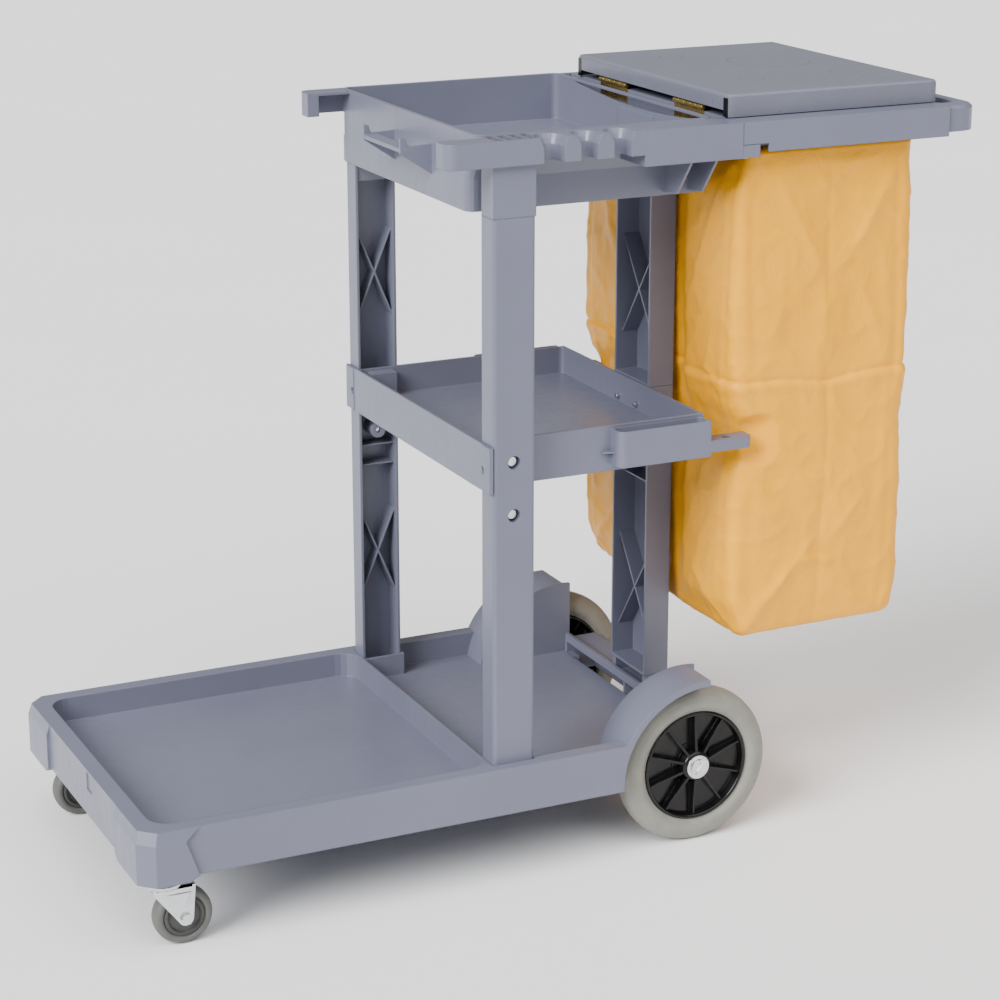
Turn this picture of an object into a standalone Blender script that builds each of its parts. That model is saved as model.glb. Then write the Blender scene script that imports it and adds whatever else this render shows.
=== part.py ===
"""Housekeeping cart: moulded platform on two casters and two large rear wheels, two front posts, one
rear post, middle shelf, top tray with tool rack, hinged-lid bag frame and a hanging waste bag.
Units are metres.  Origin: centre of the footprint on the floor.  +X runs to the bag and handle end,
+Y to the right-hand side of somebody pushing from the handle, +Z up."""
import math

import bmesh
import bpy
from mathutils import Matrix, Vector

for old in list(bpy.data.objects):
    bpy.data.objects.remove(old, do_unlink=True)

# ---------------------------------------------------------------- driving dimensions
# A value written as a plain number is set by itself.  Every other one follows from those.
GAP = 0.0003            # assembly gap between two moulded pieces that touch
WALL = 0.0035           # general moulding wall

# casters (their height carries the front of the platform)
CASTER_R = 0.035
CASTER_W = 0.024
CASTER_HUB_R = 0.0245
CASTER_TRAIL = 0.021
CASTER_ROOM = 0.0035    # tyre to the underside of the fork crown
CASTER_SIDE_ROOM = 0.0015
CASTER_RACE_R = 0.022
CASTER_RACE_H = 0.0084
CASTER_PLATE_T = 0.003
CASTER_BOLT_R = 0.0039
STEM_R = 0.0055
FORK_T = 0.0025
FORK_TOP_Z = 2 * CASTER_R + CASTER_ROOM

# platform
BASE_X0 = -0.540        # front end face
BASE_HW = 0.2315        # half width over the side rails
BUMPER_Z0 = FORK_TOP_Z + FORK_T + CASTER_RACE_H + CASTER_PLATE_T + 2 * GAP
RAIL_Z0 = BUMPER_Z0 + 0.006
RIM_Z = RAIL_Z0 + 0.059
RIM_W = 0.020           # flat of the rim
FLOOR_Z = RAIL_Z0 + 0.028
FLOOR_T = 0.005
CORNER_CHAMFER = 0.018
BUMPER_OUT = 0.004      # how far a bumper stands proud of the rail
BUMPER_Z1 = RIM_Z - 0.015
BUMPER_SIDE = 0.068     # bumper length along the side rail
BUMPER_END = 0.098      # bumper length along the front end
DIVIDER_T = 0.004
BULKHEAD_T = 0.006
RIB_T = 0.003
CASTER_X = BASE_X0 + 0.032
CASTER_Y = BASE_HW - 0.032

# rear wheels
WHEEL_R = 0.100
WHEEL_X = 0.1775
WHEEL_W = 0.036
WHEEL_Y = BASE_HW - WHEEL_W / 2 - 0.0185
HUB_R = 0.0705
HUB_BOSS_R = 0.0190
HUB_OUT = WHEEL_W / 2 + GAP
AXLE_R = 0.006
AXLE_FIT = 0.0004       # radial clearance of the hub bore on the axle
SPOKES = 10
WASHER_R = 0.015
WASHER_T = 0.0016
AXLE_RING_R = AXLE_R + 0.0038
AXLE_RING_T = 0.0026
AXLE_END = 0.0050       # axle beyond the hub boss
ARCH_T = 0.008
ARCH_ROOM = 0.011       # tyre to the inside of the wheel arch
ARCH_R = WHEEL_R + ARCH_ROOM + ARCH_T
ARCH_X1 = WHEEL_X + 0.0055
HOUSE_T = 0.004
HOUSE_ROOM = 0.0045     # tyre to the wheel-house wall
HOUSE_Y = WHEEL_Y - WHEEL_W / 2 - HOUSE_ROOM - HOUSE_T
BULKHEAD_X1 = WHEEL_X + 0.0155
BULKHEAD_Z = RAIL_Z0 + 0.053
LEDGE_Z = RAIL_Z0 + 0.046

# middle shelf, heights
POST_FOOT_Z = FLOOR_Z + 0.0043
SHELF_UP = 0.3612       # foot of the posts to the underside of the shelf
SHELF_H = 0.0555
SHELF_Z0 = POST_FOOT_Z + SHELF_UP
SHELF_Z1 = SHELF_Z0 + SHELF_H
SHELF_FLOOR = SHELF_Z0 + 0.0205

# posts
POST_X0 = -0.1016
POST_W = 0.0533
POST_D = 0.031
POST_L = 0.681
POST_X1 = POST_X0 + POST_W
POST_XM = (POST_X0 + POST_X1) / 2
POST_OUT = BASE_HW - 0.0145
POST_IN = POST_OUT - POST_D
POST_TOP_Z = POST_FOOT_Z + POST_L
CROSS_HALF = 0.055      # half height of a diagonal rib cross
CROSS_Z = ((POST_FOOT_Z + SHELF_Z0) / 2 - 0.0119, (SHELF_Z1 + POST_TOP_Z) / 2 - 0.01015)
POST_RIB_Z = (SHELF_Z0 - 0.0755, SHELF_Z0 - 0.0495)
RIB_H = 0.0022
REAR_D = 0.0343
REAR_HW = 0.0456
REAR_X0 = BULKHEAD_X1 - 0.0015
REAR_X1 = REAR_X0 + REAR_D
LEDGE_X1 = REAR_X1 + 0.0082
REAR_FOOT_Z = LEDGE_Z + 0.0187
REAR_SPLIT_Z = SHELF_Z1 - 0.0018
REAR_TOP_Z = POST_TOP_Z + 0.0010
REAR_CROSS_HALF = 0.062
PLUG_L = 0.024          # tray plugs down inside the post tops
REAR_FREE_Z = (REAR_SPLIT_Z + WALL, REAR_TOP_Z - PLUG_L - GAP)
REAR_CROSS_LEAN = 0.4276   # part of the spare length of the upper post that lies below its cross
REAR_SPARE = REAR_FREE_Z[1] - REAR_FREE_Z[0] - 2 * REAR_CROSS_HALF
REAR_CROSS_Z = (REAR_FOOT_Z + 0.1063,
                REAR_FREE_Z[0] + REAR_CROSS_HALF + REAR_CROSS_LEAN * REAR_SPARE)

# fasteners
BOLT_R = 0.003
BOLT_HEAD_R = 0.0055
COUNTERBORE_R = BOLT_HEAD_R + 0.0025
COUNTERBORE_D = 0.011
POST_BOLT_Z = (SHELF_Z0 - 0.0281, SHELF_Z0 + 0.0355)
BAND_SCREW_Y = POST_IN + 0.011
BAND_SCREW_Z = SHELF_Z0 + 0.0255
BAND_SCREW_R = 0.0021
BAND_HEAD_R = 0.0042
SHELF_BOLT_Y = 0.024
SHELF_BOLT_Z = SHELF_Z0 + 0.0275
FRAME_SCREW_R = 0.0024
FRAME_SCREW_HEAD_R = 0.0048

# middle shelf, plan
BAND_T = 0.0035
SHELF_X0 = POST_X0 - BAND_T
SHELF_X1 = REAR_X0 - 0.0014
SHELF_HW = POST_IN - GAP
BAND_HW = POST_OUT + GAP
POCKET_X0 = 0.066
POCKET_D = 0.0219
POCKET_HW = SHELF_HW + POCKET_D
POCKET_WALL = 0.0026
POCKET_Z0 = SHELF_Z0 + 0.0075
POCKET_Z1 = SHELF_Z1 - 0.004
HOOK_L = 0.0559
HOOK_X1 = SHELF_X1 + HOOK_L
HOOK_Z0 = SHELF_Z0 + 0.0125
HOOK_Z1 = HOOK_Z0 + 0.014
HOOK_HOLE_X = SHELF_X1 + 0.0249

# top tray
TRAY_WALL = 0.0045
TRAY_X0 = POST_X0 - 0.0024
TRAY_X1 = REAR_X0 + 0.006        # rear face of the basin's rear wall
TRAY_LIP = POST_IN - 0.0055      # near wall of the basin at the rim
TRAY_NEAR = TRAY_LIP - 0.025     # near wall of the basin below the racks
TRAY_Z0 = POST_TOP_Z - 0.0023
TRAY_H = 0.091
TRAY_Z1 = TRAY_Z0 + TRAY_H
TRAY_R = 0.012          # upright corners of the basin
BASIN_FLOOR = TRAY_Z0 + 0.033
LIP_Z0 = BASIN_FLOOR + 0.004     # where the near wall starts to lean out
LIP_Z1 = TRAY_Z1 - 0.006
RIM_DIP = 0.0145        # the rear rim sags this much in the middle
TOP_HW = POST_OUT + 0.0063       # outer face of tool racks, blocks and bag frame rails
RACK_H = 0.0295
RACK_Z0 = TRAY_Z1 - RACK_H
ARM_L = 0.056           # hanging arms beyond the basin
ARM_W = 0.0298
ARM_X0 = TRAY_X0 - ARM_L
ARM_HW = TOP_HW - ARM_W
CELLS = 4
CELL_T = 0.003          # wall between two cells of the rack
CELLS_X0 = TRAY_X0 + 0.005
CELLS_X1 = CELLS_X0 + 0.054
NOTCH_PLACES = ((0.0624, 0.0254), (0.1088, 0.0211), (0.1504, 0.0219))  # start beyond TRAY_X0, width
NOTCHES = tuple((TRAY_X0 + start, TRAY_X0 + start + width) for start, width in NOTCH_PLACES)
NOTCH_DEPTH = 0.0268
NOTCH_FLARE = 0.006
BLOCK_X0 = NOTCHES[-1][1] + 0.0176
BLOCK_X1 = TRAY_X1 + 0.0155
BLOCK_Z0 = TRAY_Z1 - 0.0425
TONGUE_X1 = BLOCK_X1 + 0.023
TONGUE_Z1 = BLOCK_Z0 + 0.015
REAR_LEDGE_Z = TRAY_Z1 - 0.0175
BRACKET_HW = 0.0545     # tool bracket under the front edge
BRACKET_L = 0.040

# bag frame and handle
FRAME_H = 0.036
FRAME_X0 = BLOCK_X1 + 0.0004
FRAME_Z1 = TRAY_Z1 - 0.001
FRAME_Z0 = FRAME_Z1 - FRAME_H
FRAME_STEP_X = TONGUE_X1 + 0.012
FRAME_STEP_Z = TONGUE_Z1 + 0.0005
FRAME_SCREW_X = TONGUE_X1 - 0.0115
FRAME_SCREW_Y = TOP_HW - 0.017
OPEN_X0 = FRAME_X0 + 0.0266
OPEN_L = 0.230
OPEN_X1 = OPEN_X0 + OPEN_L
OPEN_HW = TOP_HW - 0.040
FRAME_X1 = OPEN_X1 + 0.027
HANDLE_L = 0.047        # handle loop beyond the frame
HANDLE_X1 = FRAME_X1 + HANDLE_L
HANDLE_HW = TOP_HW - 0.003
HANDLE_GRIP = 0.020
HANDLE_R = 0.028

# lid and hinges
PIN_R = 0.0015
PIN_FIT = 0.0002
KNUCKLE_R = 0.0032
KNUCKLE_GAP = 0.0004
LEAF_T = 0.0013
HINGE_L = 0.070
HINGE_PARTS = 5
LID_T = 0.0035
LID_H = 0.0276
LID_X0 = FRAME_X0 - LID_T
LID_X1 = FRAME_X1 + 0.002
LID_HW = OPEN_HW + 0.0082
LID_Z0 = FRAME_Z1 + 0.001
LID_Z1 = LID_Z0 + LID_H
HINGE_Y = LID_HW - 0.0955
PIN_X = FRAME_X0 - GAP - LEAF_T
PIN_Z = FRAME_Z1 + KNUCKLE_R + 0.0013
LID_CUT_Z = PIN_Z + KNUCKLE_R + 0.0009   # lower edge of the wall on the hinge side
LID_SLIT = (0.0036, 0.0082)              # end slits of that wall, from the lid's side
LID_RIB_Y = 0.045

# waste bag
BAG_UP = 0.099          # bag's floor above the platform's rim, clear of the wheels
BAG_T = 0.0015
BAG_Z0 = RIM_Z + BAG_UP
BAG_X0 = REAR_X1 + 0.0062
BAG_X1 = OPEN_X1
BAG_HW = OPEN_HW + 0.0167

# ---------------------------------------------------------------- collections and materials
scene = bpy.context.scene
PARTS = bpy.data.collections.new("housekeeping_cart")
CUTTERS = bpy.data.collections.new("cutters")
scene.collection.children.link(PARTS)
scene.collection.children.link(CUTTERS)


def material(name, rgb, rough, metal=0.0):
    mat = bpy.data.materials.new(name)
    mat.use_nodes = True
    bsdf = mat.node_tree.nodes["Principled BSDF"]
    bsdf.inputs["Base Color"].default_value = (*rgb, 1.0)
    bsdf.inputs["Roughness"].default_value = rough
    bsdf.inputs["Metallic"].default_value = metal
    return mat


PLASTIC = material("grey_blue_plastic", (0.285, 0.300, 0.365), 0.42)
BLACK = material("black_plastic", (0.012, 0.012, 0.013), 0.30)
DARK = material("dark_grey_plastic", (0.055, 0.056, 0.052), 0.45)
RUBBER = material("grey_rubber", (0.36, 0.36, 0.32), 0.65)
ZINC = material("zinc_steel", (0.72, 0.74, 0.76), 0.28, 1.0)
BRASS = material("yellow_zinc_steel", (0.62, 0.47, 0.17), 0.32, 1.0)
VINYL = material("yellow_vinyl", (0.80, 0.47, 0.035), 0.45)


# ---------------------------------------------------------------- mesh helpers
def lift(axis, u, v, w):
    """(u, v) in the drawing plane of an axis, w along the axis."""
    if axis == "x":
        return Vector((w, u, v))
    if axis == "y":
        return Vector((u, w, v))
    return Vector((u, v, w))


def prism(bm, outline, axis, a, b):
    """Closed prism over a drawn outline from a to b along an axis."""
    a, b = min(a, b), max(a, b)
    low = [bm.verts.new(lift(axis, u, v, a)) for u, v in outline]
    high = [bm.verts.new(lift(axis, u, v, b)) for u, v in outline]
    faces = [bm.faces.new(low), bm.faces.new(high)]
    count = len(outline)
    for i in range(count):
        j = (i + 1) % count
        faces.append(bm.faces.new((low[i], low[j], high[j], high[i])))
    bmesh.ops.recalc_face_normals(bm, faces=faces)


def box(bm, x0, x1, y0, y1, z0, z1):
    prism(bm, ((x0, y0), (x1, y0), (x1, y1), (x0, y1)), "z", z0, z1)


def circle(u, v, r, n=32, start=0.0, sweep=2 * math.pi):
    step = sweep / n
    last = n if abs(sweep - 2 * math.pi) < 1e-9 else n + 1
    return [(u + r * math.cos(start + step * i), v + r * math.sin(start + step * i))
            for i in range(last)]


def rod(bm, axis, u, v, r, a, b, n=32):
    prism(bm, circle(u, v, r, n), axis, a, b)


def rounded(x0, x1, y0, y1, r, n=5):
    """Rectangle outline with four rounded corners."""
    pts = []
    for cx, cy, start in ((x1 - r, y1 - r, 0.0), (x0 + r, y1 - r, 0.5), (x0 + r, y0 + r, 1.0),
                          (x1 - r, y0 + r, 1.5)):
        pts += circle(cx, cy, r, n, start * math.pi, math.pi / 2)
    return pts


def loft(bm, rings, cap=True):
    """Closed skin through rings of equal count, given from the bottom to the top."""
    loops = [[bm.verts.new(p) for p in ring] for ring in rings]
    faces = []
    count = len(loops[0])
    for low, high in zip(loops, loops[1:]):
        for i in range(count):
            j = (i + 1) % count
            faces.append(bm.faces.new((low[i], low[j], high[j], high[i])))
    if cap:
        faces += [bm.faces.new(loops[0]), bm.faces.new(loops[-1])]
    else:
        for i in range(count):
            j = (i + 1) % count
            faces.append(bm.faces.new((loops[-1][i], loops[-1][j], loops[0][j], loops[0][i])))
    bmesh.ops.recalc_face_normals(bm, faces=faces)


def finish_mesh(name, bm, mat, coll, origin=None):
    mesh = bpy.data.meshes.new(name)
    if origin is not None:
        bmesh.ops.translate(bm, verts=bm.verts, vec=-Vector(origin))
    bm.to_mesh(mesh)
    bm.free()
    ob = bpy.data.objects.new(name, mesh)
    if origin is not None:
        ob.location = origin
    if mat is not None:
        mesh.materials.append(mat)
    coll.objects.link(ob)
    return ob


def piece(name, mat, draw, origin=None):
    """One named part; draw fills a bmesh with the starting solid."""
    bm = bmesh.new()
    draw(bm)
    return finish_mesh(name, bm, mat, PARTS, origin)


def combine(ob, label, draw, operation):
    """Boolean one group of tool solids into or out of a part."""
    bm = bmesh.new()
    draw(bm)
    tool = finish_mesh("tool_%s_%s" % (ob.name, label), bm, None, CUTTERS)
    tool.hide_render = True
    tool.display_type = "WIRE"
    mod = ob.modifiers.new(label, "BOOLEAN")
    mod.operation = operation
    mod.solver = "EXACT"
    mod.use_self = True
    mod.object = tool
    return tool


def cut(ob, label, draw):
    return combine(ob, label, draw, "DIFFERENCE")


def fuse(ob, label, draw):
    return combine(ob, label, draw, "UNION")


def spun(name, mat, profile, origin, axis="y", steps=40):
    """Solid of revolution; profile is a closed loop of (radius, along) away from the axis, drawn
    from the top to the bottom on its outer side."""
    bm = bmesh.new()
    verts = [bm.verts.new((r, 0.0, w)) for r, w in profile]
    for i, vert in enumerate(verts):
        bm.edges.new((vert, verts[(i + 1) % len(verts)]))
    ob = finish_mesh(name, bm, mat, PARTS)
    ob.location = origin
    if axis == "y":
        ob.rotation_euler = (-math.pi / 2, 0.0, 0.0)
    mod = ob.modifiers.new("spin", "SCREW")
    mod.axis = "Z"
    mod.angle = 2 * math.pi
    mod.steps = steps
    mod.render_steps = steps
    mod.screw_offset = 0.0
    mod.use_merge_vertices = True
    mod.merge_threshold = 0.00005
    mod.use_normal_calculate = True
    return ob


def arc_x(radius, z):
    """x of the wheel-centred circle on its front side at height z."""
    return WHEEL_X - math.sqrt(radius ** 2 - (z - WHEEL_R) ** 2)


# ---------------------------------------------------------------- platform
def platform_outline(grow, chamfer):
    """Plan of the platform body with cut front corners."""
    x0 = BASE_X0 - grow
    hw = BASE_HW + grow
    return ((x0 + chamfer, -hw), (BULKHEAD_X1, -hw), (BULKHEAD_X1, hw), (x0 + chamfer, hw),
            (x0, hw - chamfer), (x0, -hw + chamfer))


def bumper(bm, side):
    """Corner bumper: upright band with a sloped top that runs into the rim edge."""
    def ring(grow, x_end, y_end, z):
        x0, hw, c = BASE_X0 - grow, BASE_HW + grow, CORNER_CHAMFER
        pts = ((x_end, hw), (x0 + c, hw), (x0, hw - c), (x0, y_end), (BASE_X0 + 0.03, y_end),
               (x_end, BASE_HW - 0.03))
        return [Vector((x, side * y, z)) for x, y in pts]
    side_end = BASE_X0 + BUMPER_SIDE
    face_end = BASE_HW - BUMPER_END
    loft(bm, (ring(BUMPER_OUT, side_end - 0.014, face_end + 0.012, BUMPER_Z0),
              ring(BUMPER_OUT, side_end - 0.003, face_end + 0.003, RAIL_Z0 + 0.0004),
              ring(BUMPER_OUT, side_end - 0.018, face_end + 0.003, BUMPER_Z1),
              ring(0.0002, side_end, face_end, RIM_Z - 0.0006)))


def build_platform():
    base = piece("base_platform", PLASTIC,
                 lambda bm: prism(bm, platform_outline(0.0, CORNER_CHAMFER), "z", RAIL_Z0, RIM_Z))
    fuse(base, "bumper_right", lambda bm: bumper(bm, -1))
    fuse(base, "bumper_left", lambda bm: bumper(bm, 1))

    def wells(bm):
        prism(bm, rounded(BASE_X0 + RIM_W, POST_X0 - GAP - DIVIDER_T, -BASE_HW + RIM_W,
                          BASE_HW - RIM_W, 0.026), "z", FLOOR_Z, RIM_Z + 0.02)
        prism(bm, rounded(POST_X0 - GAP, BULKHEAD_X1 - BULKHEAD_T, -BASE_HW + RIM_W,
                          BASE_HW - RIM_W, 0.004, 2), "z", FLOOR_Z, RIM_Z + 0.02)
    cut(base, "wells", wells)

    def wheel_houses(bm):
        top = WHEEL_R + math.sqrt(ARCH_R ** 2 - (BULKHEAD_X1 - WHEEL_X) ** 2)
        first = math.atan2(top - WHEEL_R, BULKHEAD_X1 - WHEEL_X)
        last = math.pi - math.atan2(RAIL_Z0 + 0.002 - WHEEL_R, -(arc_x(ARCH_R, RAIL_Z0 + 0.002) - WHEEL_X))
        arc = circle(WHEEL_X, WHEEL_R, ARCH_R, 26, first, last - first)
        outline = arc + [(BULKHEAD_X1, RAIL_Z0 + 0.002)]
        for side in (-1, 1):
            prism(bm, outline, "y", side * HOUSE_Y, side * BASE_HW)
    fuse(base, "wheel_houses", wheel_houses)

    def ledge(bm):
        box(bm, BULKHEAD_X1 - 0.001, LEDGE_X1, -HOUSE_Y - HOUSE_T, HOUSE_Y + HOUSE_T, RAIL_Z0, LEDGE_Z)
    fuse(base, "ledge", ledge)

    def wheel_space(bm):
        for side in (-1, 1):
            prism(bm, circle(WHEEL_X, WHEEL_R, ARCH_R - ARCH_T, 48), "y",
                  side * (HOUSE_Y + HOUSE_T), side * (BASE_HW + 0.02))
    cut(base, "wheel_space", wheel_space)

    def wheel_rear(bm):
        for side in (-1, 1):
            y0, y1 = sorted((side * (HOUSE_Y + HOUSE_T), side * (BASE_HW + 0.02)))
            box(bm, ARCH_X1, LEDGE_X1 + 0.05, y0, y1, RAIL_Z0 - 0.03, RIM_Z + 0.1)
    cut(base, "wheel_rear", wheel_rear)

    def bulkhead_top(bm):
        box(bm, BULKHEAD_X1 - BULKHEAD_T - 0.0005, BULKHEAD_X1 + 0.0005, -HOUSE_Y, HOUSE_Y,
            BULKHEAD_Z, RIM_Z + 0.03)
    cut(base, "bulkhead_top", bulkhead_top)

    def underside(bm):
        z1 = FLOOR_Z - FLOOR_T
        bays = 5
        x0, x1 = BASE_X0 + RIM_W - 0.012, arc_x(ARCH_R, RAIL_Z0 + 0.002) - 0.004
        pitch = (x1 - x0 + RIB_T) / bays
        for i in range(bays):
            a = x0 + pitch * i
            for y0, y1 in ((-BASE_HW + 0.008, -0.0015), (0.0015, BASE_HW - 0.008)):
                box(bm, a, a + pitch - RIB_T, y0, y1, BUMPER_Z0 - 0.02, z1)
        for y0, y1 in ((-HOUSE_Y + 0.003, -0.0015), (0.0015, HOUSE_Y - 0.003)):
            box(bm, x1 + RIB_T, BULKHEAD_X1 - 0.010, y0, y1, BUMPER_Z0 - 0.02, z1)
            box(bm, BULKHEAD_X1 - 0.007, LEDGE_X1 - 0.004, y0, y1, BUMPER_Z0 - 0.02, LEDGE_Z - 0.004)
    cut(base, "underside", underside)

    def sockets(bm):
        for side in (-1, 1):
            y0, y1 = sorted((side * (POST_IN - GAP - WALL), side * (BASE_HW - 0.006)))
            box(bm, POST_X0 - GAP - DIVIDER_T, POST_X1 + GAP + WALL, y0, y1, FLOOR_Z - FLOOR_T,
                RIM_Z - 0.002)
            rod(bm, "z", CASTER_X, side * CASTER_Y, CASTER_RACE_R - 0.003, BUMPER_Z0, FLOOR_Z - 0.001, 32)
        for side in (-1, 1):
            y0, y1 = sorted((side * (HOUSE_Y + HOUSE_T), side * (HOUSE_Y - 0.022)))
            box(bm, WHEEL_X - AXLE_R - 0.014, WHEEL_X + AXLE_R + 0.014, y0, y1,
                WHEEL_R - AXLE_R - 0.010, FLOOR_Z - 0.001)
    fuse(base, "sockets", sockets)

    def pedestal(bm):
        box(bm, REAR_X1 - WALL, REAR_X1, -REAR_HW, REAR_HW, LEDGE_Z - 0.001, REAR_FOOT_Z - GAP)
        for side in (-1, 1):
            y0, y1 = sorted((side * (REAR_HW - 0.009), side * REAR_HW))
            box(bm, BULKHEAD_X1 + 0.001, REAR_X1 - 0.001, y0, y1, LEDGE_Z - 0.001,
                REAR_FOOT_Z - GAP)
    fuse(base, "pedestal", pedestal)

    def holes(bm):
        for side in (-1, 1):
            y0, y1 = sorted((side * (POST_IN - GAP), side * (POST_OUT + GAP)))
            box(bm, POST_X0 - GAP, POST_X1 + GAP, y0, y1, POST_FOOT_Z - GAP, RIM_Z + 0.02)
            rod(bm, "z", CASTER_X, side * CASTER_Y, STEM_R + GAP, BUMPER_Z0 - 0.01,
                FLOOR_Z - FLOOR_T + 0.001, 24)
        rod(bm, "y", WHEEL_X, WHEEL_R, AXLE_R + GAP, -BASE_HW, BASE_HW, 24)
        box(bm, BASE_X0 - 0.002, BASE_X0 + 0.0015, -0.0395, -0.0195, RIM_Z - 0.0255, RIM_Z - 0.0035)
    cut(base, "holes", holes)
    return base


# ---------------------------------------------------------------- posts
def cross_ribs(bm, axis, u0, u1, z_mid, half, a, b):
    """Two crossing diagonal ribs between u0 and u1, as one plus-shaped outline turned on its side."""
    t = 0.0013
    um = (u0 + u1) / 2
    slope = math.hypot(u1 - u0, 2 * half)
    du, dz = t * 2 * half / slope, t * (u1 - u0) / slope
    off = t / math.cos(math.atan2(u1 - u0, 2 * half)) * 1.0
    wide = t / math.sin(math.atan2(u1 - u0, 2 * half))
    z0, z1 = z_mid - half, z_mid + half
    outline = ((u0, z0), (u0 + du, z0 - dz), (um, z_mid - wide), (u1 - du, z0 - dz), (u1, z0),
               (u1, z0 + off), (um + off, z_mid), (u1, z1 - off), (u1, z1), (u1 - du, z1 + dz),
               (um, z_mid + wide), (u0 + du, z1 + dz), (u0, z1), (u0, z1 - off), (um - off, z_mid),
               (u0, z0 + off))
    prism(bm, outline, axis, a, b)


def build_front_post(name, side):
    inner0, inner1 = POST_X0 + WALL, POST_X1 - WALL
    web = POST_OUT - WALL

    def body(bm):
        pts = ((POST_X0, POST_IN), (inner0, POST_IN), (inner0, web), (inner1, web),
               (inner1, POST_IN), (POST_X1, POST_IN), (POST_X1, POST_OUT - 0.004),
               (POST_X1 - 0.0012, POST_OUT - 0.0012), (POST_X1 - 0.004, POST_OUT),
               (POST_X0 + 0.004, POST_OUT), (POST_X0 + 0.0012, POST_OUT - 0.0012),
               (POST_X0, POST_OUT - 0.004))
        prism(bm, [(x, side * y) for x, y in pts], "z", POST_FOOT_Z, POST_TOP_Z)
    post = piece(name, PLASTIC, body)

    def ribs(bm):
        y0, y1 = side * (web + 0.0006), side * (POST_IN + 0.007)
        for z_mid in CROSS_Z:
            cross_ribs(bm, "y", inner0 - 0.0006, inner1 + 0.0006, z_mid, CROSS_HALF, y0, y1)
        for z in POST_RIB_Z:
            box(bm, inner0 - 0.0006, inner1 + 0.0006, min(y0, y1), max(y0, y1), z, z + RIB_H)
        for z in POST_BOLT_Z:
            rod(bm, "y", POST_XM, z, COUNTERBORE_R + 0.0022, y0,
                side * (POST_IN + 0.001), 28)
    fuse(post, "ribs", ribs)

    def bores(bm):
        for z in POST_BOLT_Z:
            rod(bm, "y", POST_XM, z, COUNTERBORE_R, side * (POST_OUT - COUNTERBORE_D),
                side * (POST_OUT + 0.01), 28)
    cut(post, "counterbores", bores)

    def drill(bm):
        for z in POST_BOLT_Z:
            rod(bm, "y", POST_XM, z, BOLT_R + GAP, side * (POST_IN - 0.005),
                side * (POST_OUT - COUNTERBORE_D + 0.001), 20)
        rod(bm, "x", side * BAND_SCREW_Y, BAND_SCREW_Z, BAND_SCREW_R + GAP, POST_X0 - 0.01,
            POST_X0 + WALL + 0.001, 16)
    cut(post, "bolt_holes", drill)
    return post


def build_rear_post(name, z0, z1, z_cross, shelf_bolts):
    web = REAR_X1 - WALL
    inner = REAR_HW - WALL

    def body(bm):
        pts = ((REAR_X0, -REAR_HW), (REAR_X1, -REAR_HW), (REAR_X1, REAR_HW), (REAR_X0, REAR_HW),
               (REAR_X0, inner), (web, inner), (web, -inner), (REAR_X0, -inner))
        prism(bm, pts, "z", z0, z1)
    post = piece(name, PLASTIC, body)

    def ribs(bm):
        x0, x1 = REAR_X0 + 0.009, web + 0.0006
        cross_ribs(bm, "x", -inner - 0.0006, inner + 0.0006, z_cross, REAR_CROSS_HALF, x0, x1)
        box(bm, REAR_X0, x1, -inner - 0.0006, inner + 0.0006, z0, z0 + WALL)
        if shelf_bolts:
            box(bm, x0, x1, -inner - 0.0006, inner + 0.0006, POST_RIB_Z[0], POST_RIB_Z[0] + RIB_H)
            for y in (-SHELF_BOLT_Y, SHELF_BOLT_Y):
                rod(bm, "x", y, SHELF_BOLT_Z, BOLT_R + 0.005, REAR_X0, x1, 24)
    fuse(post, "ribs", ribs)
    if shelf_bolts:
        def drill(bm):
            for y in (-SHELF_BOLT_Y, SHELF_BOLT_Y):
                rod(bm, "x", y, SHELF_BOLT_Z, BOLT_R + GAP, REAR_X0 - 0.01, REAR_X1 + 0.01, 20)
        cut(post, "bolt_holes", drill)
    return post


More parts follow.
